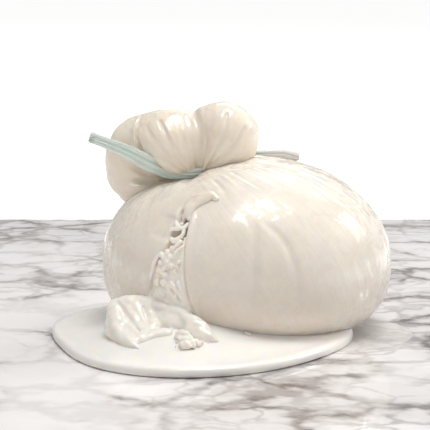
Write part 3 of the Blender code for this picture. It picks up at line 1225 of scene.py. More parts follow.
@dataclass
class Knot:
    """The gathered skin above the neck: three lobes that fold over and lean on each other."""

    foot: Array
    gather: Place = (-16.5, -5.0, 50.5)
    ring: float = 22.0
    low: Place = (-55.0, -20.0, 40.0)
    high: Place = (8.0, 18.0, 84.0)
    cube: float = 0.42
    roll_blend: float = 3.2
    lobe_blend: float = 0.7
    crease_blend: float = 1.0
    lobes: dict[str, tuple[Roll, ...]] = field(default_factory=lambda: {
        "throat": (
            (
                (-17.4, 1.0, 61.7, 5.00), (-14.9, 0.5, 57.6, 5.00), (-17.4, 2.0, 53.0, 6.00),
                (-18.0, 2.0, 47.5, 7.00),
            ),
            ((-20.9, 4.0, 56.1, 6.00), (-22.3, 5.0, 50.7, 6.50)),
        ),
        "left": (
            (
                (-35.5, 2.0, 69.6, 4.90), (-39.4, 2.0, 66.5, 6.00), (-41.6, 2.0, 61.5, 6.80),
                (-41.9, 2.0, 55.6, 7.20), (-40.1, 1.0, 50.5, 6.30), (-37.6, 0.0, 47.4, 4.40),
            ),
            (
                (-35.8, 3.0, 62.8, 6.50), (-35.8, 2.0, 56.0, 7.00), (-33.8, 1.0, 51.2, 5.00),
                (-29.6, 2.0, 50.6, 4.50),
            ),
            ((-39.0, -1.0, 48.2, 4.00), (-35.1, -1.0, 48.4, 3.40), (-32.2, 0.0, 48.8, 2.40)),
        ),
        "right": (
            ((-11.8, -1.0, 70.2, 7.80), (-7.9, -1.0, 68.0, 10.70), (-5.1, 0.0, 67.4, 9.40)),
            (
                (-4.9, 0.0, 66.6, 8.40), (-4.3, -1.0, 63.0, 7.60), (-5.6, -2.0, 60.4, 6.60),
                (-9.8, -3.0, 59.0, 5.00),
            ),
            ((-8.4, -3.0, 65.6, 8.80), (-10.1, -4.0, 62.3, 7.00), (-12.5, -4.0, 59.3, 5.00)),
            ((-9.1, 6.0, 67.0, 9.40), (-7.0, 6.0, 63.2, 8.40)),
        ),
        "middle": (
            (
                (-34.0, -1.0, 69.6, 5.20), (-29.7, -2.0, 70.4, 5.60), (-24.5, -2.0, 70.6, 5.60),
                (-20.1, -1.0, 70.6, 5.00),
            ),
            (
                (-32.2, -4.0, 66.2, 6.80), (-27.6, -5.0, 65.2, 8.40), (-22.1, -4.0, 65.2, 8.00),
                (-18.7, -3.0, 66.6, 6.40),
            ),
            (
                (-28.2, -6.0, 61.6, 5.60), (-24.1, -6.0, 60.2, 6.00), (-20.1, -5.0, 59.8, 5.20),
                (-17.7, -4.0, 58.6, 3.80),
            ),
            ((-28.2, 4.0, 65.0, 9.00), (-22.9, 4.0, 64.4, 9.00)),
        ),
    })
    creases: tuple[Roll, ...] = (
        (
            (-18.4, 4.0, 78.4, 1.2), (-18.2, -3.0, 76.0, 1.4), (-17.0, -8.6, 72.1, 1.5),
            (-15.6, -11.6, 68.3, 1.6), (-14.2, -12.4, 64.9, 1.7), (-14.1, -11.6, 61.6, 1.7),
            (-15.8, -10.4, 58.0, 1.6), (-18.0, -9.4, 55.0, 1.4),
        ),
        (
            (-36.6, 5.0, 75.6, 0.9), (-36.4, -1.5, 74.6, 1.0), (-37.2, -5.0, 71.1, 1.1),
            (-37.0, -7.0, 66.8, 1.2), (-35.2, -8.4, 62.2, 1.3), (-31.5, -9.6, 57.8, 1.3),
        ),
        (
            (-47.2, -5.4, 60.8, 0.5), (-41.3, -5.9, 58.4, 1.0), (-36.5, -5.2, 55.2, 1.1),
            (-31.4, -4.4, 52.6, 1.2),
        ),
        (
            (-46.6, -5.6, 52.4, 0.4), (-40.7, -6.4, 51.6, 0.9), (-35.8, -4.6, 51.4, 0.9),
            (-31.0, -4.0, 50.8, 0.9),
        ),
        (
            (-45.0, -4.4, 66.6, 0.4), (-40.0, -5.6, 63.0, 0.8), (-35.8, -5.6, 58.6, 0.9),
            (-31.6, -5.0, 54.8, 0.9),
        ),
        (
            (-29.4, -8.6, 72.6, 0.5), (-27.0, -12.8, 68.0, 0.6), (-23.5, -13.4, 62.6, 0.7),
            (-20.6, -11.5, 57.6, 0.6),
        ),
        (
            (-25.0, -8.2, 74.2, 0.5), (-22.6, -12.0, 69.5, 0.6), (-20.4, -12.6, 63.6, 0.7),
            (-18.8, -11.4, 58.2, 0.6),
        ),
        (
            (-34.4, -8.6, 71.4, 0.3), (-31.4, -13.2, 66.0, 0.6), (-26.8, -13.0, 61.0, 0.6),
            (-22.2, -11.6, 57.0, 0.5),
        ),
        (
            (-12.6, -9.0, 57.6, 0.6), (-8.4, -11.6, 60.6, 0.6), (-4.0, -11.6, 65.6, 0.5),
            (-0.6, -9.0, 70.6, 0.4),
        ),
        (
            (-13.0, -10.0, 58.8, 0.6), (-10.0, -12.6, 63.4, 0.6), (-7.4, -12.6, 69.6, 0.5),
            (-6.8, -9.0, 75.2, 0.4),
        ),
    )

    def build(self) -> bpy.types.Object:
        """Model the knot.

        Returns:
            The piece, with its grain stored for the material.
        """
        knot = Mass("knot", self.low, self.high, self.cube)
        whole = tuple(slice(None) for _ in knot.axes)
        for rolls in self.lobes.values():
            lobe = Mass("lobe", self.low, self.high, self.cube)
            for route in rolls:
                lobe.roll(route, self.roll_blend)
            knot.melt(whole, lobe.gaps, self.lobe_blend)
        for route in self.creases:
            knot.roll(route, self.crease_blend, True)
        piece = knot.piece()
        face_outwards(piece)
        self.draw_threads(piece)
        return piece

    def draw_threads(self, piece: bpy.types.Object) -> None:
        """Draw fine threads towards the gathered neck, and store the grain for the material.

        Args:
            piece: the knot, still measured from the pouch's foot.
        """
        points = read_points(piece)
        away = points / MM - np.array(self.gather)
        turn = np.arctan2(away[:, 2], away[:, 0])
        run = np.linalg.norm(away, axis=1)
        rise = run * 0.10 + away[:, 1] * 0.12
        grain = np.stack([np.cos(turn) * self.ring, np.sin(turn) * self.ring, rise], axis=1)
        threads = soft_noise(grain, 1.5, Seed.KNOT_THREADS, 2)
        pleats = 1.0 - 2.0 * np.abs(soft_noise(grain, 4.2, Seed.KNOT_PLEATS)) ** 0.7
        near = smooth(26.0, 10.0, run)
        shift = (0.10 * threads - (0.28 + 0.30 * near) * pleats) * MM
        points += read_normals(piece) * shift[:, None]
        write_points(piece, points + self.foot)
        write_vector(piece, "grain", grain)


class NodeTree:
    """Builds one Geometry Nodes tree with named inputs."""

    def __init__(self, name: str) -> None:
        """Start a tree that takes and gives geometry.

        Args:
            name: the tree's name.
        """
        self.tree = bpy.data.node_groups.new(name, "GeometryNodeTree")
        self.tree.interface.new_socket("Geometry", in_out="INPUT", socket_type="NodeSocketGeometry")
        self.tree.interface.new_socket("Geometry", in_out="OUTPUT", socket_type="NodeSocketGeometry")
        self.entry = self.tree.nodes.new("NodeGroupInput")
        self.exit = self.tree.nodes.new("NodeGroupOutput")

    def size(self, name: str, kind: str = "NodeSocketFloat") -> None:
        """Add a named input."""
        self.tree.interface.new_socket(name, in_out="INPUT", socket_type=kind)

    def given(self, name: str) -> bpy.types.NodeSocket:
        """The socket that carries a named input."""
        return self.entry.outputs[name]

    def node(self, kind: str, settings: dict[str, Any], values: dict[int | str, Any]) -> bpy.types.Node:
        """Add a node, set its properties first, then feed its inputs.

        Args:
            kind: the node's type.
            settings: properties of the node.
            values: what each input takes: a socket or a constant.

        Returns:
            The new node.
        """
        made = self.tree.nodes.new(kind)
        for key, setting in settings.items():
            setattr(made, key, setting)
        for key, value in values.items():
            if isinstance(value, bpy.types.NodeSocket):
                self.tree.links.new(value, made.inputs[key])
            else:
                made.inputs[key].default_value = value
        return made

    def finish(self, geometry: bpy.types.NodeSocket, material: bpy.types.NodeSocket) -> bpy.types.NodeTree:
        """Make the instances real, give them their material and close the tree.

        Args:
            geometry: the instances.
            material: the socket that carries the material.

        Returns:
            The tree.
        """
        real = self.node("GeometryNodeRealizeInstances", {}, {"Geometry": geometry})
        values = {"Geometry": real.outputs[0], "Material": material}
        dressed = self.node("GeometryNodeSetMaterial", {}, values)
        self.tree.links.new(dressed.outputs[0], self.exit.inputs[0])
        return self.tree

    def use(self, piece: bpy.types.Object, values: dict[str, Any]) -> None:
        """Run the tree on a piece and keep the result as a plain mesh.

        Args:
            piece: the piece that carries the tree's starting geometry.
            values: what each named input takes.
        """
        modifier = piece.modifiers.new(self.tree.name, "NODES")
        modifier.node_group = self.tree
        for entry in self.tree.interface.items_tree:
            if entry.in_out == "INPUT" and entry.name in values:
                modifier[entry.identifier] = values[entry.name]
        settle_modifiers(piece)


def crumb_tree() -> NodeTree:
    """A tree that puts one small uneven crumb on each point, sized by the mesh's own crumb number.

    Returns:
        The tree.
    """
    nodes = NodeTree("crumbs on points")
    nodes.size("Seed", "NodeSocketInt")
    nodes.size("Roughness")
    nodes.size("Finish", "NodeSocketMaterial")
    ball = nodes.node("GeometryNodeMeshIcoSphere", {}, {"Radius": 1.0, "Subdivisions": 3})
    where = nodes.node("GeometryNodeInputPosition", {}, {}).outputs[0]
    noise = nodes.node("ShaderNodeTexNoise", {}, {"Vector": where, "Scale": 1.1, "Detail": 2.0})
    values = {0: noise.outputs["Color"], 1: (0.5, 0.5, 0.5)}
    shift = nodes.node("ShaderNodeVectorMath", {"operation": "SUBTRACT"}, values)
    values = {0: shift.outputs[0], "Scale": nodes.given("Roughness")}
    push = nodes.node("ShaderNodeVectorMath", {"operation": "SCALE"}, values)
    values = {"Geometry": ball.outputs[0], "Offset": push.outputs[0]}
    uneven = nodes.node("GeometryNodeSetPosition", {}, values)
    size = nodes.node("GeometryNodeInputNamedAttribute", {"data_type": "FLOAT"}, {"Name": "crumb"})
    seed = nodes.given("Seed")
    values = {0: (0.0, 0.0, 0.0), 1: (6.28, 6.28, 6.28), "Seed": seed}
    turn = nodes.node("FunctionNodeRandomValue", {"data_type": "FLOAT_VECTOR"}, values)
    values = {0: (0.75, 0.65, 0.6), 1: (1.35, 1.15, 0.95), "Seed": seed}
    stretch = nodes.node("FunctionNodeRandomValue", {"data_type": "FLOAT_VECTOR"}, values)
    values = {0: stretch.outputs[0], "Scale": size.outputs[0]}
    scale = nodes.node("ShaderNodeVectorMath", {"operation": "SCALE"}, values)
    values = {
        "Points": nodes.given("Geometry"),
        "Instance": uneven.outputs[0],
        "Rotation": turn.outputs[0],
        "Scale": scale.outputs[0],
    }
    placed = nodes.node("GeometryNodeInstanceOnPoints", {}, values)
    nodes.finish(placed.outputs[0], nodes.given("Finish"))
    return nodes


def crumb_points(name: str, places: Array, sizes: Array) -> bpy.types.Object:
    """A mesh of loose points that carries a size for each crumb.

    Args:
        name: the piece's name.
        places: the points, one a row, in metres.
        sizes: the crumbs' sizes, in metres.

    Returns:
        The piece.
    """
    piece = make_piece(name, places, [])
    write_number(piece, "crumb", sizes)
    return piece


@dataclass
class Filling:
    """The curd that shows: the stream in the tear, the mound at its foot and a ragged clump."""

    foot: Array
    pouch: Pouch
    cube: float = 0.3
    low: Place = (-52.0, -70.0, 0.4)
    high: Place = (-6.0, -29.0, 47.0)
    mound: dict[str, Roll] = field(default_factory=lambda: {
        "core": ((-42.9, -34.5, 10.7, 4.00), (-37.8, -36.5, 10.3, 4.80), (-33.5, -37.6, 10.0, 4.80)),
        "front core": ((-41.0, -39.0, 8.0, 4.00), (-37.2, -40.5, 7.6, 4.20), (-33.6, -41.9, 7.8, 3.80)),
        "wall": ((-32.2, -37.4, 10.5, 4.00), (-28.9, -40.5, 10.5, 4.00), (-24.9, -44.1, 10.0, 4.00),
                 (-20.9, -47.4, 9.3, 3.60), (-18.3, -50.2, 8.2, 2.80)),
        "crest": ((-43.1, -35.5, 14.2, 2.60), (-40.4, -36.5, 15.0, 2.90), (-37.1, -37.0, 15.2, 2.90),
                  (-33.1, -37.6, 15.3, 2.70), (-30.1, -39.0, 15.1, 2.20)),
        "left ridge": ((-43.4, -36.0, 12.9, 2.80), (-43.2, -39.5, 11.3, 3.10), (-42.5, -42.8, 9.2, 3.10),
                       (-41.3, -46.6, 7.4, 2.80), (-39.4, -51.8, 6.2, 2.20), (-37.4, -55.8, 5.3, 1.50),
                       (-35.2, -58.6, 4.6, 0.80)),
        "left foot": ((-44.6, -37.5, 8.3, 2.80), (-43.9, -42.3, 6.6, 2.60), (-41.9, -47.6, 5.2, 2.00)),
        "left slope": ((-41.0, -38.2, 11.9, 3.00), (-39.4, -41.4, 10.0, 3.30), (-37.3, -45.3, 8.0, 3.10),
                       (-34.6, -49.9, 6.5, 2.60)),
        "front slope": ((-35.6, -39.6, 12.0, 3.20), (-34.0, -43.2, 9.9, 3.00), (-31.3, -46.8, 8.1, 2.80)),
        "apron": ((-39.5, -50.7, 4.9, 2.40), (-35.5, -52.4, 5.5, 2.60), (-31.0, -51.2, 6.6, 2.40),
                  (-26.0, -51.0, 7.5, 2.20)),
        "second ridge": ((-41.6, -36.2, 14.9, 1.40), (-39.5, -39.6, 13.8, 1.50), (-37.9, -41.9, 12.3, 1.40),
                         (-35.9, -45.2, 10.4, 1.30), (-33.8, -48.9, 8.7, 1.10), (-32.4, -51.4, 7.6, 0.70)),
        "third ridge": ((-38.6, -38.2, 14.9, 1.50), (-36.2, -40.4, 13.9, 1.30), (-34.7, -43.4, 12.1, 1.15),
                        (-33.3, -47.1, 9.8, 0.95), (-31.8, -50.4, 7.9, 0.60)),
        "fourth ridge": ((-32.1, -40.2, 14.4, 1.30), (-31.3, -43.0, 12.3, 1.10), (-30.6, -45.8, 10.2, 1.00),
                         (-29.7, -49.0, 8.2, 0.80)),
        "strand": ((-32.1, -39.0, 15.0, 1.90), (-28.4, -41.4, 14.9, 1.60), (-25.5, -43.2, 14.4, 1.55),
                   (-22.2, -45.5, 13.5, 1.70), (-19.8, -48.4, 12.2, 2.10), (-17.5, -51.1, 10.9, 2.60),
                   (-15.2, -53.2, 9.5, 2.70), (-13.0, -54.9, 8.2, 1.90), (-11.4, -55.8, 7.4, 1.20),
                   (-10.2, -56.2, 6.7, 0.60)),
        "strand back": ((-29.0, -39.6, 13.8, 2.20), (-25.6, -42.1, 13.2, 2.40), (-22.4, -45.1, 12.2, 2.60),
                        (-19.4, -48.2, 10.8, 2.80), (-16.6, -51.1, 9.3, 2.80), (-14.0, -53.5, 7.7, 2.20)),
        "strand foot": ((-18.2, -52.8, 8.8, 2.20), (-15.4, -54.5, 7.7, 2.20), (-12.8, -55.3, 6.8, 1.60)),
    })
    valleys: tuple[Roll, ...] = (
        ((-43.4, -38.2, 16.2, 0.5), (-41.3, -41.2, 14.3, 0.85), (-39.3, -44.0, 12.2, 0.85),
         (-37.2, -47.4, 10.4, 0.75), (-35.4, -50.4, 8.8, 0.4)),
        ((-34.2, -41.2, 14.6, 0.5), (-33.3, -44.0, 13.0, 0.7), (-32.2, -47.4, 10.9, 0.5)),
    )
    stream: dict[str, Roll] = field(default_factory=lambda: {
        "left edge": (
            (-28.4, -39.2, 32.6, 0.63), (-29.9, -38.8, 30.9, 0.63), (-30.9, -38.6, 28.7, 0.68),
            (-31.5, -38.4, 26.3, 0.68), (-32.1, -37.9, 24.0, 0.71), (-32.5, -37.5, 21.2, 0.76),
            (-32.5, -37.1, 18.5, 0.93), (-32.3, -36.9, 16.5, 1.06),
        ),
        "first fold": (
            (-25.3, -42.7, 23.2, 0.84), (-23.8, -43.8, 21.4, 0.84), (-22.2, -44.7, 19.6, 0.84),
            (-20.5, -45.0, 17.4, 0.84), (-19.2, -44.9, 15.1, 0.76),
        ),
        "second fold": (
            (-25.7, -42.7, 20.5, 0.93), (-24.2, -43.6, 18.7, 0.93), (-22.2, -44.3, 16.8, 0.93),
            (-20.2, -44.6, 15.0, 0.84), (-18.5, -44.4, 13.1, 0.84),
        ),
        "third fold": (
            (-22.9, -43.9, 23.5, 0.76), (-21.6, -44.8, 21.3, 0.76), (-20.3, -45.2, 19.1, 0.76),
            (-19.4, -45.2, 17.2, 0.68),
        ),
        "fourth fold": (
            (-26.5, -42.0, 17.7, 1.18), (-24.2, -43.1, 16.2, 1.18), (-21.6, -44.1, 14.8, 1.09),
            (-18.9, -44.4, 13.0, 1.01),
        ),
        "first twist": ((-24.5, -41.0, 34.0, 0.68), (-23.4, -41.1, 35.2, 0.68), (-22.0, -41.0, 36.5, 0.63)),
        "second twist": (
            (-24.0, -41.8, 32.2, 0.68), (-22.9, -42.1, 33.7, 0.68), (-21.6, -42.0, 34.8, 0.59),
        ),
        "third twist": ((-24.4, -39.8, 36.3, 0.68), (-23.0, -40.4, 36.7, 0.68)),
        "hole rim": (
            (-25.2, -38.9, 37.1, 0.71), (-24.1, -39.9, 36.9, 0.76), (-22.8, -40.2, 37.5, 0.76),
            (-21.5, -39.9, 38.5, 0.71), (-21.0, -39.0, 39.7, 0.68),
        ),
        "curl": (
            (-23.6, -35.8, 42.4, 0.63), (-23.2, -37.2, 41.4, 0.68), (-22.0, -38.6, 40.6, 0.68),
            (-20.7, -38.6, 40.8, 0.63), (-19.7, -37.9, 41.8, 0.63),
        ),
        "hole roof": ((-24.9, -36.6, 39.9, 0.76), (-23.9, -37.5, 40.2, 0.68), (-22.8, -38.3, 40.0, 0.68)),
        "right trough": (
            (-20.3, -40.2, 37.1, 0.76), (-20.9, -41.7, 33.6, 0.93), (-21.0, -43.1, 29.1, 1.09),
            (-20.9, -43.8, 24.5, 1.09), (-20.2, -44.4, 20.8, 1.01), (-19.1, -44.5, 17.3, 0.93),
        ),
    })
    drops: tuple[Bead, ...] = (
        (-26.3, -40.3, 32.9, 1.17), (-25.4, -41.3, 31.4, 1.03), (-27.1, -40.4, 31.1, 1.10),
        (-26.3, -41.5, 29.6, 1.21), (-24.9, -42.6, 28.8, 0.88), (-27.2, -41.5, 27.9, 1.03),
        (-28.1, -41.2, 26.5, 1.03), (-26.9, -41.9, 25.5, 1.03), (-29.6, -40.0, 23.0, 1.32),
        (-27.4, -41.7, 23.3, 1.43), (-26.1, -42.5, 21.8, 1.10), (-27.7, -40.6, 20.3, 2.06),
        (-29.2, -39.3, 20.0, 1.83), (-25.5, -42.1, 19.2, 1.47), (-29.8, -38.4, 18.0, 1.65),
        (-28.5, -39.7, 29.5, 0.95), (-29.1, -39.7, 27.3, 0.88), (-29.7, -39.3, 24.9, 0.81),
        (-23.6, -44.1, 19.7, 0.73), (-24.4, -43.1, 17.6, 0.88), (-20.9, -44.9, 17.0, 0.81),
        (-22.2, -44.8, 21.9, 0.59), (-23.2, -43.5, 28.7, 0.66), (-22.6, -43.2, 30.2, 0.59),
        (-23.8, -43.0, 26.9, 0.88), (-28.1, -39.5, 31.8, 0.81), (-24.9, -40.2, 34.5, 0.81),
        (-26.2, -42.6, 20.1, 0.95), (-21.4, -55.9, 8.8, 1.34), (-20.1, -56.6, 8.7, 1.34),
        (-18.8, -58.1, 8.1, 1.12), (-20.4, -59.6, 7.5, 1.57), (-21.5, -61.4, 6.9, 1.01),
        (-19.7, -62.0, 6.8, 1.34), (-18.1, -60.8, 7.1, 1.23), (-16.9, -59.9, 7.4, 1.01),
        (-15.9, -60.9, 6.8, 0.78), (-17.5, -62.2, 6.4, 0.90), (-21.0, -62.6, 6.4, 0.78),
        (-19.0, -62.8, 6.3, 0.67), (-22.3, -57.9, 8.1, 0.90), (-15.0, -59.3, 7.2, 0.56),
        (-13.0, -59.5, 7.1, 0.50), (-22.7, -54.1, 8.9, 0.67), (-23.2, -62.2, 6.4, 0.50),
        (-19.7, -59.5, 8.1, 0.90), (-18.1, -59.9, 7.9, 0.67), (-21.1, -34.8, 42.5, 0.62),
        (-20.8, -34.7, 42.8, 0.51), (-21.6, -34.6, 40.6, 1.60), (-20.6, -33.6, 43.6, 1.50),
    )
    clump_base: Roll = (
        (-22.1, -55.7, 7.4, 1.7), (-20.1, -58.4, 6.6, 2.2), (-18.0, -59.3, 6.2, 2.1),
        (-16.2, -59.1, 6.0, 1.5),
    )
    slope_blend: float = 2.0
    ridge_blend: float = 0.7
    clump_blend: float = 1.2
    fold_blend: float = 0.5
    drop_blend: float = 0.4
    bed_low: Place = (-34.0, -49.0, 7.0)
    bed_high: Place = (-15.0, -32.0, 37.5)
    bed_depth: float = 6.0
    bed_left_heights: tuple[float, ...] = (28.0, 33.0, 36.0)
    bed_left_reach: tuple[float, ...] = (0.5, 0.2, -1.3)
    bed_heights: tuple[float, ...] = (12.0, 17.0, 21.0, 27.0, 32.0, 35.0, 37.0)
    bed_proud: tuple[float, ...] = (0.3, 0.2, -0.3, -0.5, -0.5, -0.9, -1.4)
    floor: float = 0.4 * MM

    def bed(self, mass: Mass) -> None:
        """Lay the stream's own surface over the tear, a little proud on the left and sunk on the right.

        Args:
            mass: the curd so far.
        """
        tear, pouch = self.pouch.tear, self.pouch
        part, points = mass.near(np.array(self.bed_low), np.array(self.bed_high))
        places = points * MM
        away = places - np.array((0.0, 0.0, pouch.girth))
        length = np.linalg.norm(away, axis=1)
        ways = away / length[:, None]
        skin = np.linalg.norm(pouch.surface(ways) - np.array((0.0, 0.0, pouch.girth)), axis=1)
        left, right, _ = tear.inside(places)
        height = points[:, 2]
        left = left / MM + np.interp(height, self.bed_left_heights, self.bed_left_reach)
        right = right / MM
        share = np.clip(left / np.maximum(left + right, 0.1), 0.0, 1.0)
        proud = np.interp(height, self.bed_heights, self.bed_proud) - 0.7 * smooth(0.55, 0.95, share)
        proud -= 0.5 * smooth(0.14, 0.08, share) * smooth(16.0, 20.0, height)
        surface = (length - skin) / MM - proud
        sides = np.maximum(-left, -right - 0.2)
        depth = (skin - length) / MM - self.bed_depth
        mass.melt(part, np.maximum(np.maximum(surface, sides), depth), self.drop_blend)

    def build(self) -> bpy.types.Object:
        """Model the curd.

        Returns:
            The piece, one closed skin over all its rolls, folds and drops.
        """
        mass = Mass("curd", self.low, self.high, self.cube)
        for name, route in self.mound.items():
            sharp = name.endswith("ridge") or name == "strand"
            mass.roll(route, self.ridge_blend if sharp else self.slope_blend)
        for route in self.valleys:
            mass.roll(route, self.ridge_blend, True)
        mass.roll(self.clump_base, self.clump_blend)
        self.bed(mass)
        for route in self.stream.values():
            mass.roll(route, self.fold_blend)
        for drop in self.drops:
            mass.ball(drop, self.drop_blend)
        piece = mass.piece()
        face_outwards(piece)
        points = read_points(piece)
        normals = read_normals(piece)
        calm = smooth(20.0 * MM, 12.0 * MM, points[:, 2])
        shift = soft_noise(points, 3.6 * MM, Seed.CURD_LUMPS, 2) * (0.20 + 0.22 * calm) * MM
        shift += soft_noise(points, 1.3 * MM, Seed.CURD_GRAIN) * 0.06 * MM
        shift += soft_noise(points, 2.1 * MM, Seed.CURD_DIMPLES) * 0.14 * calm * MM
        points += normals * shift[:, None]
        points[:, 2] = np.maximum(points[:, 2], self.floor)
        write_points(piece, points + self.foot)
        return piece


@dataclass
class Pool:
    """The pool of cream, with a rounded rim and a soft rise against the cheese."""

    foot: Array
    middle: Place = (-14.0, -28.0, 0.0)
    radius: float = 51.0
    waves: tuple[tuple[int, float, float], ...] = (
        (1, 4.2, 137.0), (2, 0.7, -65.0), (3, 3.8, 17.6), (4, 0.9, 41.4),
    )
    depth: float = 3.3
    climb: float = 7.4
    climb_power: float = 1.6
    climb_start: float = 3.0
    climb_reach: float = 30.0
    climb_ease: float = 0.08
    calm_share: float = 0.25
    left_turns: tuple[float, float] = (-85.0, -45.0)
    back_turns: tuple[float, float] = (150.0, 100.0)
    floor: float = 0.3
    columns: int = 360
    rows: int = 70
    foot_radius: float = 44.5
    foot_meniscus: tuple[float, float] = (0.5, 0.9)
    mound_middle: tuple[float, float] = (-31.0, -45.5)
    mound_reach: tuple[float, float] = (15.0, 9.5)
    mound_rise: float = 0.7
    mound_core: float = 0.35
    mound_fade: float = 2.6
    clump_middle: tuple[float, float] = (-19.5, -56.5)
    clump_reach: float = 4.5
    clump_rise: float = 0.4
    swell: float = 0.12
    swell_size: float = 18.0
    rim: tuple[tuple[float, float], ...] = (
        (0.22, 0.0), (0.06, 0.10), (0.0, 0.26), (0.04, 0.46), (0.22, 0.68), (0.60, 0.84), (1.3, 0.945),
        (2.2, 0.985), (3.4, 1.0),
    )

    def edge(self, turns: Array) -> Array:
        """The outline's distance from the middle, in millimetres, at turns in radians.

        Args:
            turns: directions from the middle, in radians.

        Returns:
            The distances.
        """
        reach = np.full(len(turns), self.radius)
        for count, height, phase in self.waves:
            reach += height * np.cos(count * (turns - math.radians(phase)))
        return reach

    def top(self, flat: Array) -> Array:
        """The height of the cream's surface, in millimetres, over places in millimetres.

        Args:
            flat: places, two numbers a row.

        Returns:
            The heights.
        """
        away = flat - np.array(self.middle[:2])
        inset = self.edge(np.arctan2(away[:, 1], away[:, 0])) - np.hypot(away[:, 0], away[:, 1])
        turn = np.degrees(np.arctan2(flat[:, 0], -flat[:, 1]))
        side = smooth(*self.left_turns, turn) * smooth(*self.back_turns, turn)
        climb = self.climb * (self.calm_share + (1.0 - self.calm_share) * side)
        run = (inset - self.climb_start) / self.climb_reach
        ease = self.climb_ease
        slope = np.clip(0.5 * (1.0 + np.hypot(run, ease) - np.hypot(run - 1.0, ease)), 0.0, 1.0)
        foot_gap = np.hypot(flat[:, 0], flat[:, 1]) - self.foot_radius
        meniscus, fade = self.foot_meniscus
        rise = climb * slope ** self.climb_power + meniscus * np.exp(-np.maximum(foot_gap, 0.0) / fade)
        mound = np.hypot(*((flat - np.array(self.mound_middle)) / np.array(self.mound_reach)).T)
        rise += self.mound_rise * np.exp(-(np.maximum(mound - self.mound_core, 0.0) ** 2) * self.mound_fade)
        clump = np.hypot(*(flat - np.array(self.clump_middle)).T)
        rise += self.clump_rise * np.exp(-((clump / self.clump_reach) ** 2))
        level = np.column_stack([flat, np.zeros(len(flat))])
        return self.depth + rise + self.swell * soft_noise(level, self.swell_size, Seed.CREAM_SWELL, 2)

    def build(self) -> bpy.types.Object:
        """Model the cream.

        Returns:
            The piece.
        """
        turns = np.linspace(0.0, 2.0 * math.pi, self.columns, endpoint=False)
        outline = self.edge(turns)
        spoke = np.column_stack([np.cos(turns), np.sin(turns)])
        rings = []
        for inset, share in self.rim:
            flat = spoke * (outline - inset)[:, None] + np.array(self.middle[:2])
            height = self.floor + (self.top(flat) - self.floor) * share
            rings.append(np.column_stack([flat, height]))
        inner = outline - self.rim[-1][0]
        for row in range(1, self.rows):
            flat = spoke * (inner * (1.0 - row / self.rows))[:, None] + np.array(self.middle[:2])
            rings.append(np.column_stack([flat, self.top(flat)]))
        low = np.array((self.middle[0], self.middle[1], self.floor))
        peak = np.array([self.middle[:2]])
        high = np.array((peak[0, 0], peak[0, 1], float(self.top(peak)[0])))
        rings, low, high = (np.array(places) * MM + self.foot for places in (rings, low, high))
        piece = closed_grid("cream", rings, low, high)
        face_outwards(piece)
        return piece


@dataclass
class Whey:
    """A thin film of whey that has crept out over the marble."""

    foot: Array
    middle: tuple[float, float] = (31.0, -13.0)
    reach: tuple[float, float] = (26.5, 29.0)
    height: float = 0.45
    floor: float = 0.02
    columns: int = 180
    wobble: float = 0.05
    cover: float = 0.55
    profile: tuple[tuple[float, float], ...] = (
        (0.995, 0.06), (1.0, 0.2), (0.985, 0.6), (0.95, 0.85), (0.85, 1.0), (0.6, 1.0), (0.3, 1.0),
    )

    def build(self) -> bpy.types.Object:
        """Model the film as a very flat drop with an uneven edge.

        Returns:
            The piece, with its cover stored for the material.
        """
        turns = np.linspace(0.0, 2.0 * math.pi, self.columns, endpoint=False)
        around = np.column_stack([np.cos(turns), np.sin(turns)])
        flat = np.column_stack([around, np.zeros(self.columns)])
        edge = around * (1.0 + self.wobble * soft_noise(flat, 0.8, Seed.WHEY_EDGE, 2))[:, None]
        middle, reach = np.array(self.middle), np.array(self.reach)
        rings, film = [], []
        for share, rise in self.profile:
            level = np.full(self.columns, self.floor + self.height * rise)
            rings.append(np.column_stack([middle + edge * reach * share, level]))
            film.append(np.full(self.columns, self.cover + (1.0 - self.cover) * (1.0 - share)))
        ends = np.array([(*self.middle, self.floor), (*self.middle, self.height)]) * MM + self.foot
        piece = closed_grid("whey_right", np.array(rings) * MM + self.foot, ends[0], ends[1])
        face_outwards(piece)
        write_number(piece, "film", np.concatenate([*film, [self.cover, 1.0]]))
        return piece


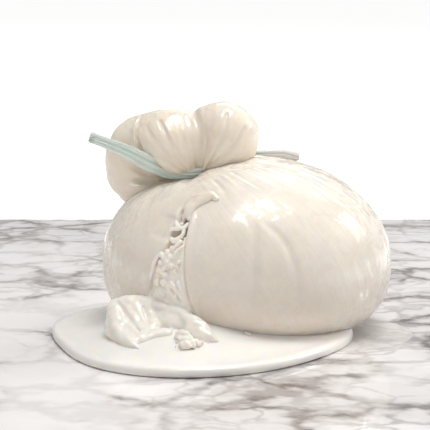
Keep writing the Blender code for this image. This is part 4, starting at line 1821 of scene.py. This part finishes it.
@dataclass
class Strip:
    """The flat folded strip that binds the neck; its two ends show."""

    foot: Array
    route: tuple[Place, ...] = (
        (-53.2, -13.0, 67.9), (-49.0, -13.4, 66.3), (-44.6, -13.8, 64.6), (-40.2, -13.6, 62.6),
        (-35.9, -12.6, 60.2), (-31.2, -10.6, 57.6), (-26.2, -7.6, 55.2), (-19.0, -7.0, 54.6),
        (-11.0, -4.0, 55.6), (-5.0, 5.0, 57.6), (2.2, 12.0, 58.7), (8.6, 13.6, 58.9), (13.9, 13.8, 58.7),
        (19.0, 13.2, 57.8),
    )
    widths: tuple[float, ...] = (3.6, 3.6, 3.9, 4.4, 5.0, 5.0, 4.6, 4.0, 3.6, 3.0, 2.6, 2.9, 3.2, 3.2)
    leans: tuple[float, ...] = (
        74.0, 74.0, 76.0, 80.0, 82.0, 80.0, 70.0, 60.0, 50.0, 50.0, 62.0, 66.0, 66.0, 62.0,
    )
    layers: tuple[tuple[float, float, float], ...] = (
        (0.0, 0.0, 1.0), (-0.55, 0.16, 0.72), (0.45, -0.20, 0.60),
    )
    trims: tuple[float, ...] = (0.0, 1.2, 2.1)
    thickness: float = 0.55
    layer_gap: float = 0.9
    grain_scale: float = 2.4
    grain_step: float = 9.0
    grain_pace: float = 0.06
    steps: int = 10
    around: int = 36

    def build(self) -> bpy.types.Object:
        """Model the strip's folded layers.

        Returns:
            The piece, with its grain stored for the material.
        """
        points: list[Array] = []
        faces: list[Sequence[int]] = []
        grains: list[Array] = []
        spine = curve_through(self.route, self.steps)
        marks = np.arange(len(self.route)) * self.steps
        widths = np.interp(np.arange(len(spine)), marks, self.widths)
        run, wide, thick = self.bearings(spine, marks)
        gaps = np.linalg.norm(np.diff(spine, axis=0), axis=1)
        length = np.concatenate([[0.0], np.cumsum(gaps)])
        around = self.around
        for layer, (lift, slide, share) in enumerate(self.layers):
            start = len(spine) * around * layer
            for place in range(len(spine)):
                across, up = self.section(0.5 * widths[place] * share, layer)
                base = spine[place] + slide * widths[place] * wide[place]
                if place == 0:
                    base = base + run[place] * self.trims[layer]
                elif place == len(spine) - 1:
                    base = base - run[place] * self.trims[layer]
                up = up + lift * self.layer_gap
                points.append(base + np.outer(across, wide[place]) + np.outer(up, thick[place]))
                along = np.full(around, length[place] * self.grain_pace)
                grain = (across * self.grain_scale + layer * self.grain_step, up * self.grain_scale, along)
                grains.append(np.column_stack(grain))
            faces += [tuple(number + start for number in face) for face in grid_faces(len(spine), around)]
            last = start + (len(spine) - 1) * around
            faces.append(tuple(range(start + around - 1, start - 1, -1)))
            faces.append(tuple(range(last, last + around)))
        piece = make_piece("strip", np.vstack(points) * MM + self.foot, faces)
        face_outwards(piece)
        piece.data.set_sharp_from_angle(angle=math.radians(60.0))
        write_vector(piece, "grain", np.vstack(grains))
        return piece

    def bearings(self, spine: Array, marks: Array) -> tuple[Array, Array, Array]:
        """Which way the strip runs, spreads and thickens at each point of its line.

        Args:
            spine: the line's points.
            marks: which of them are the route's own points.

        Returns:
            Three directions for each point: along the strip, across it and out of it.
        """
        leans = np.radians(np.interp(np.arange(len(spine)), marks, self.leans))
        run = np.gradient(spine, axis=0)
        run /= np.linalg.norm(run, axis=1)[:, None]
        side = np.cross(run, (0.0, 0.0, 1.0))
        side /= np.linalg.norm(side, axis=1)[:, None]
        over = np.cross(side, run)
        wide = side * np.cos(leans)[:, None] + over * np.sin(leans)[:, None]
        return run, wide, np.cross(run, wide)

    def section(self, half: float, layer: int) -> tuple[Array, Array]:
        """One layer's outline across the strip: flat, cupped and rippled.

        Args:
            half: half of the layer's width.
            layer: the layer's number, which shifts its ripples.

        Returns:
            How far each point of the outline lies across the strip and out of it.
        """
        turns = np.linspace(0.0, 2.0 * math.pi, self.around, endpoint=False)
        across = half * np.sign(np.cos(turns)) * np.abs(np.cos(turns)) ** 0.7
        ripple = 0.10 * np.cos(across * 5.3 + layer) + 0.06 * np.cos(across * 11.0 + 2.0 * layer)
        cup = 0.22 * (across / max(half, 0.1)) ** 2
        up = 0.5 * self.thickness * np.sign(np.sin(turns)) * np.abs(np.sin(turns)) ** 0.6
        return across, up + ripple + cup


@dataclass
class Crumbs:
    """Loose crumbs of curd: in the clump on the cream, and at the pouch's foot."""

    foot: Array
    pool: Pool
    tree: NodeTree
    finish: bpy.types.Material
    spots: tuple[tuple[float, float, float, int], ...] = ((-19.5, -59.0, 3.0, 14), (-0.2, -46.8, 0.9, 4))
    sizes: tuple[float, float] = (0.35, 0.7)
    tree_seed: int = 9
    roughness: float = 0.8

    def build(self) -> bpy.types.Object:
        """Scatter the crumbs.

        Returns:
            The piece, one mesh with all the crumbs.
        """
        source = np.random.default_rng(Seed.CRUMBS)
        places, sizes = [], []
        for x, y, spread, count in self.spots:
            for _ in range(count):
                flat = np.array([[x, y]]) + source.standard_normal(2) * spread * 0.5
                size = source.uniform(*self.sizes)
                places.append((flat[0, 0], flat[0, 1], float(self.pool.top(flat)[0]) + 0.3 * size))
                sizes.append(size)
        piece = crumb_points("crumbs", np.array(places) * MM + self.foot, np.array(sizes) * MM)
        self.tree.use(piece, {"Seed": self.tree_seed, "Roughness": self.roughness, "Finish": self.finish})
        piece.data.shade_smooth()
        return piece


# ---------------------------------------------------------------------------------------------
# The studio
# ---------------------------------------------------------------------------------------------


@dataclass(frozen=True)
class SoftBox:
    """A large soft lamp."""

    name: str
    place: Place
    aim: Place
    size: tuple[float, float]
    power: float
    colour: Place = (1.0, 1.0, 1.0)

    def light(self) -> None:
        """Hang the lamp."""
        lamp = bpy.data.lights.new(self.name, "AREA")
        lamp.shape = "RECTANGLE"
        lamp.size, lamp.size_y = self.size
        lamp.energy = self.power
        lamp.color = self.colour
        hung = bpy.data.objects.new(self.name, lamp)
        hung.location = self.place
        hung.rotation_euler = (Vector(self.aim) - Vector(self.place)).to_track_quat("-Z", "Y").to_euler()
        bpy.context.scene.collection.objects.link(hung)


@dataclass
class Studio:
    """A white table in soft light, seen from just above the cheese."""

    lens: float = 156.1
    sensor: float = 36.0
    floor_width: float = 12.0
    floor_glow: float = 0.55
    sky_strength: float = 0.45
    camera_place: Place = (0.0, -0.6857, 0.154)
    camera_fall: float = 8.61
    boxes: tuple[SoftBox, ...] = (
        SoftBox(
            "top light",
            (0.16, -0.14, 1.02),
            (0.0, -0.04, 0.04),
            (0.6, 0.42),
            6.4,
            (1.0, 0.985, 0.965),
        ),
        SoftBox("back light", (0.45, 1.2, 1.3), (0.0, 0.0, 0.05), (1.4, 0.7), 5.5, (1.0, 0.99, 0.98)),
        SoftBox("side light", (0.95, 0.30, 0.60), (0.0, -0.04, 0.05), (0.22, 0.5), 3.4, (1.0, 0.99, 0.97)),
    )

    def build(self) -> None:
        """Set the floor, the lamps, the sky and the camera."""
        half = self.floor_width / 2.0
        corners = np.array([(-half, -half, 0.0), (half, -half, 0.0), (half, half, 0.0), (-half, half, 0.0)])
        floor = make_piece("floor", corners, [(0, 1, 2, 3)])
        bench = ShaderBench("pale floor")
        grey = bench.noise(bench.place(), 3.0, 2.0)
        colour = bench.blend(grey, (0.93, 0.93, 0.93, 1.0), (0.95, 0.95, 0.95, 1.0))
        glow = {"Emission_Color": (1.0, 1.0, 1.0, 1.0), "Emission_Strength": self.floor_glow}
        floor.data.materials.append(bench.dress(Base_Color=colour, Roughness=0.9, **glow))
        for box in self.boxes:
            box.light()
        world = bpy.data.worlds.new("soft white")
        world.use_nodes = True
        sky = world.node_tree.nodes["Background"]
        sky.inputs["Color"].default_value = (1.0, 0.995, 0.985, 1.0)
        sky.inputs["Strength"].default_value = self.sky_strength
        bpy.context.scene.world = world
        bpy.context.scene.view_settings.view_transform = "Standard"
        camera = bpy.data.cameras.new("camera")
        camera.lens = self.lens
        camera.sensor_width = self.sensor
        camera.clip_start = 0.01
        seat = bpy.data.objects.new("camera", camera)
        seat.location = self.camera_place
        seat.rotation_euler = (math.radians(90.0 - self.camera_fall), 0.0, 0.0)
        bpy.context.scene.collection.objects.link(seat)
        bpy.context.scene.camera = seat


# ---------------------------------------------------------------------------------------------
# Putting it together
# ---------------------------------------------------------------------------------------------


def stand_for(
    piece: bpy.types.Object, material: bpy.types.Material, node: str | None = None
) -> None:
    """Dress a piece, let it ride on the object and let it stand for a plain solid.

    Args:
        piece: the finished piece.
        material: its finish.
        node: the plain solid that it stands for, if any.
    """
    piece.data.materials.clear()
    piece.data.materials.append(material)
    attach(piece, "root")
    if node:
        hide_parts(node)
    LOG.info("%s: %d faces", piece.name, len(piece.data.polygons))


def main() -> None:
    """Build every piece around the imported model."""
    logging.basicConfig(level=logging.INFO, format="%(message)s")
    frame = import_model()
    board_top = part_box("board")[1][2]
    pouch_low, pouch_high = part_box("pouch")
    foot = np.array((pouch_high[0] - Pouch.radius, pouch_low[1] + Pouch.radius, board_top))
    LOG.info("foot at %s", foot)

    board = frame["nodes"]["board"]
    board.data.materials.clear()
    board.data.materials.append(MarbleFinish("marble").make())

    curd = CurdFinish("curd", Milk.CURD.value).make()
    pouch, pool = Pouch(foot), Pool(foot)
    stand_for(pouch.build(), SkinFinish("skin", Milk.SKIN.value).make(), "pouch")
    stand_for(Lip(foot).build(), SkinFinish("lip skin", Milk.SKIN.value, 0.05 * MM).make())
    stand_for(Knot(foot).build(), SkinFinish("knot skin", Milk.KNOT.value).make())
    stand_for(Filling(foot, pouch).build(), curd, "filling")
    stand_for(pool.build(), CreamFinish("cream", Milk.CREAM.value).make(), "cream_pool")
    stand_for(Whey(foot).build(), WheyFinish("whey").make())
    stand_for(Strip(foot).build(), StripFinish("strip").make(), "binding_strip")
    stand_for(Crumbs(foot, pool, crumb_tree(), curd).build(), curd)
    Studio().build()


if __name__ == "__main__":
    main()
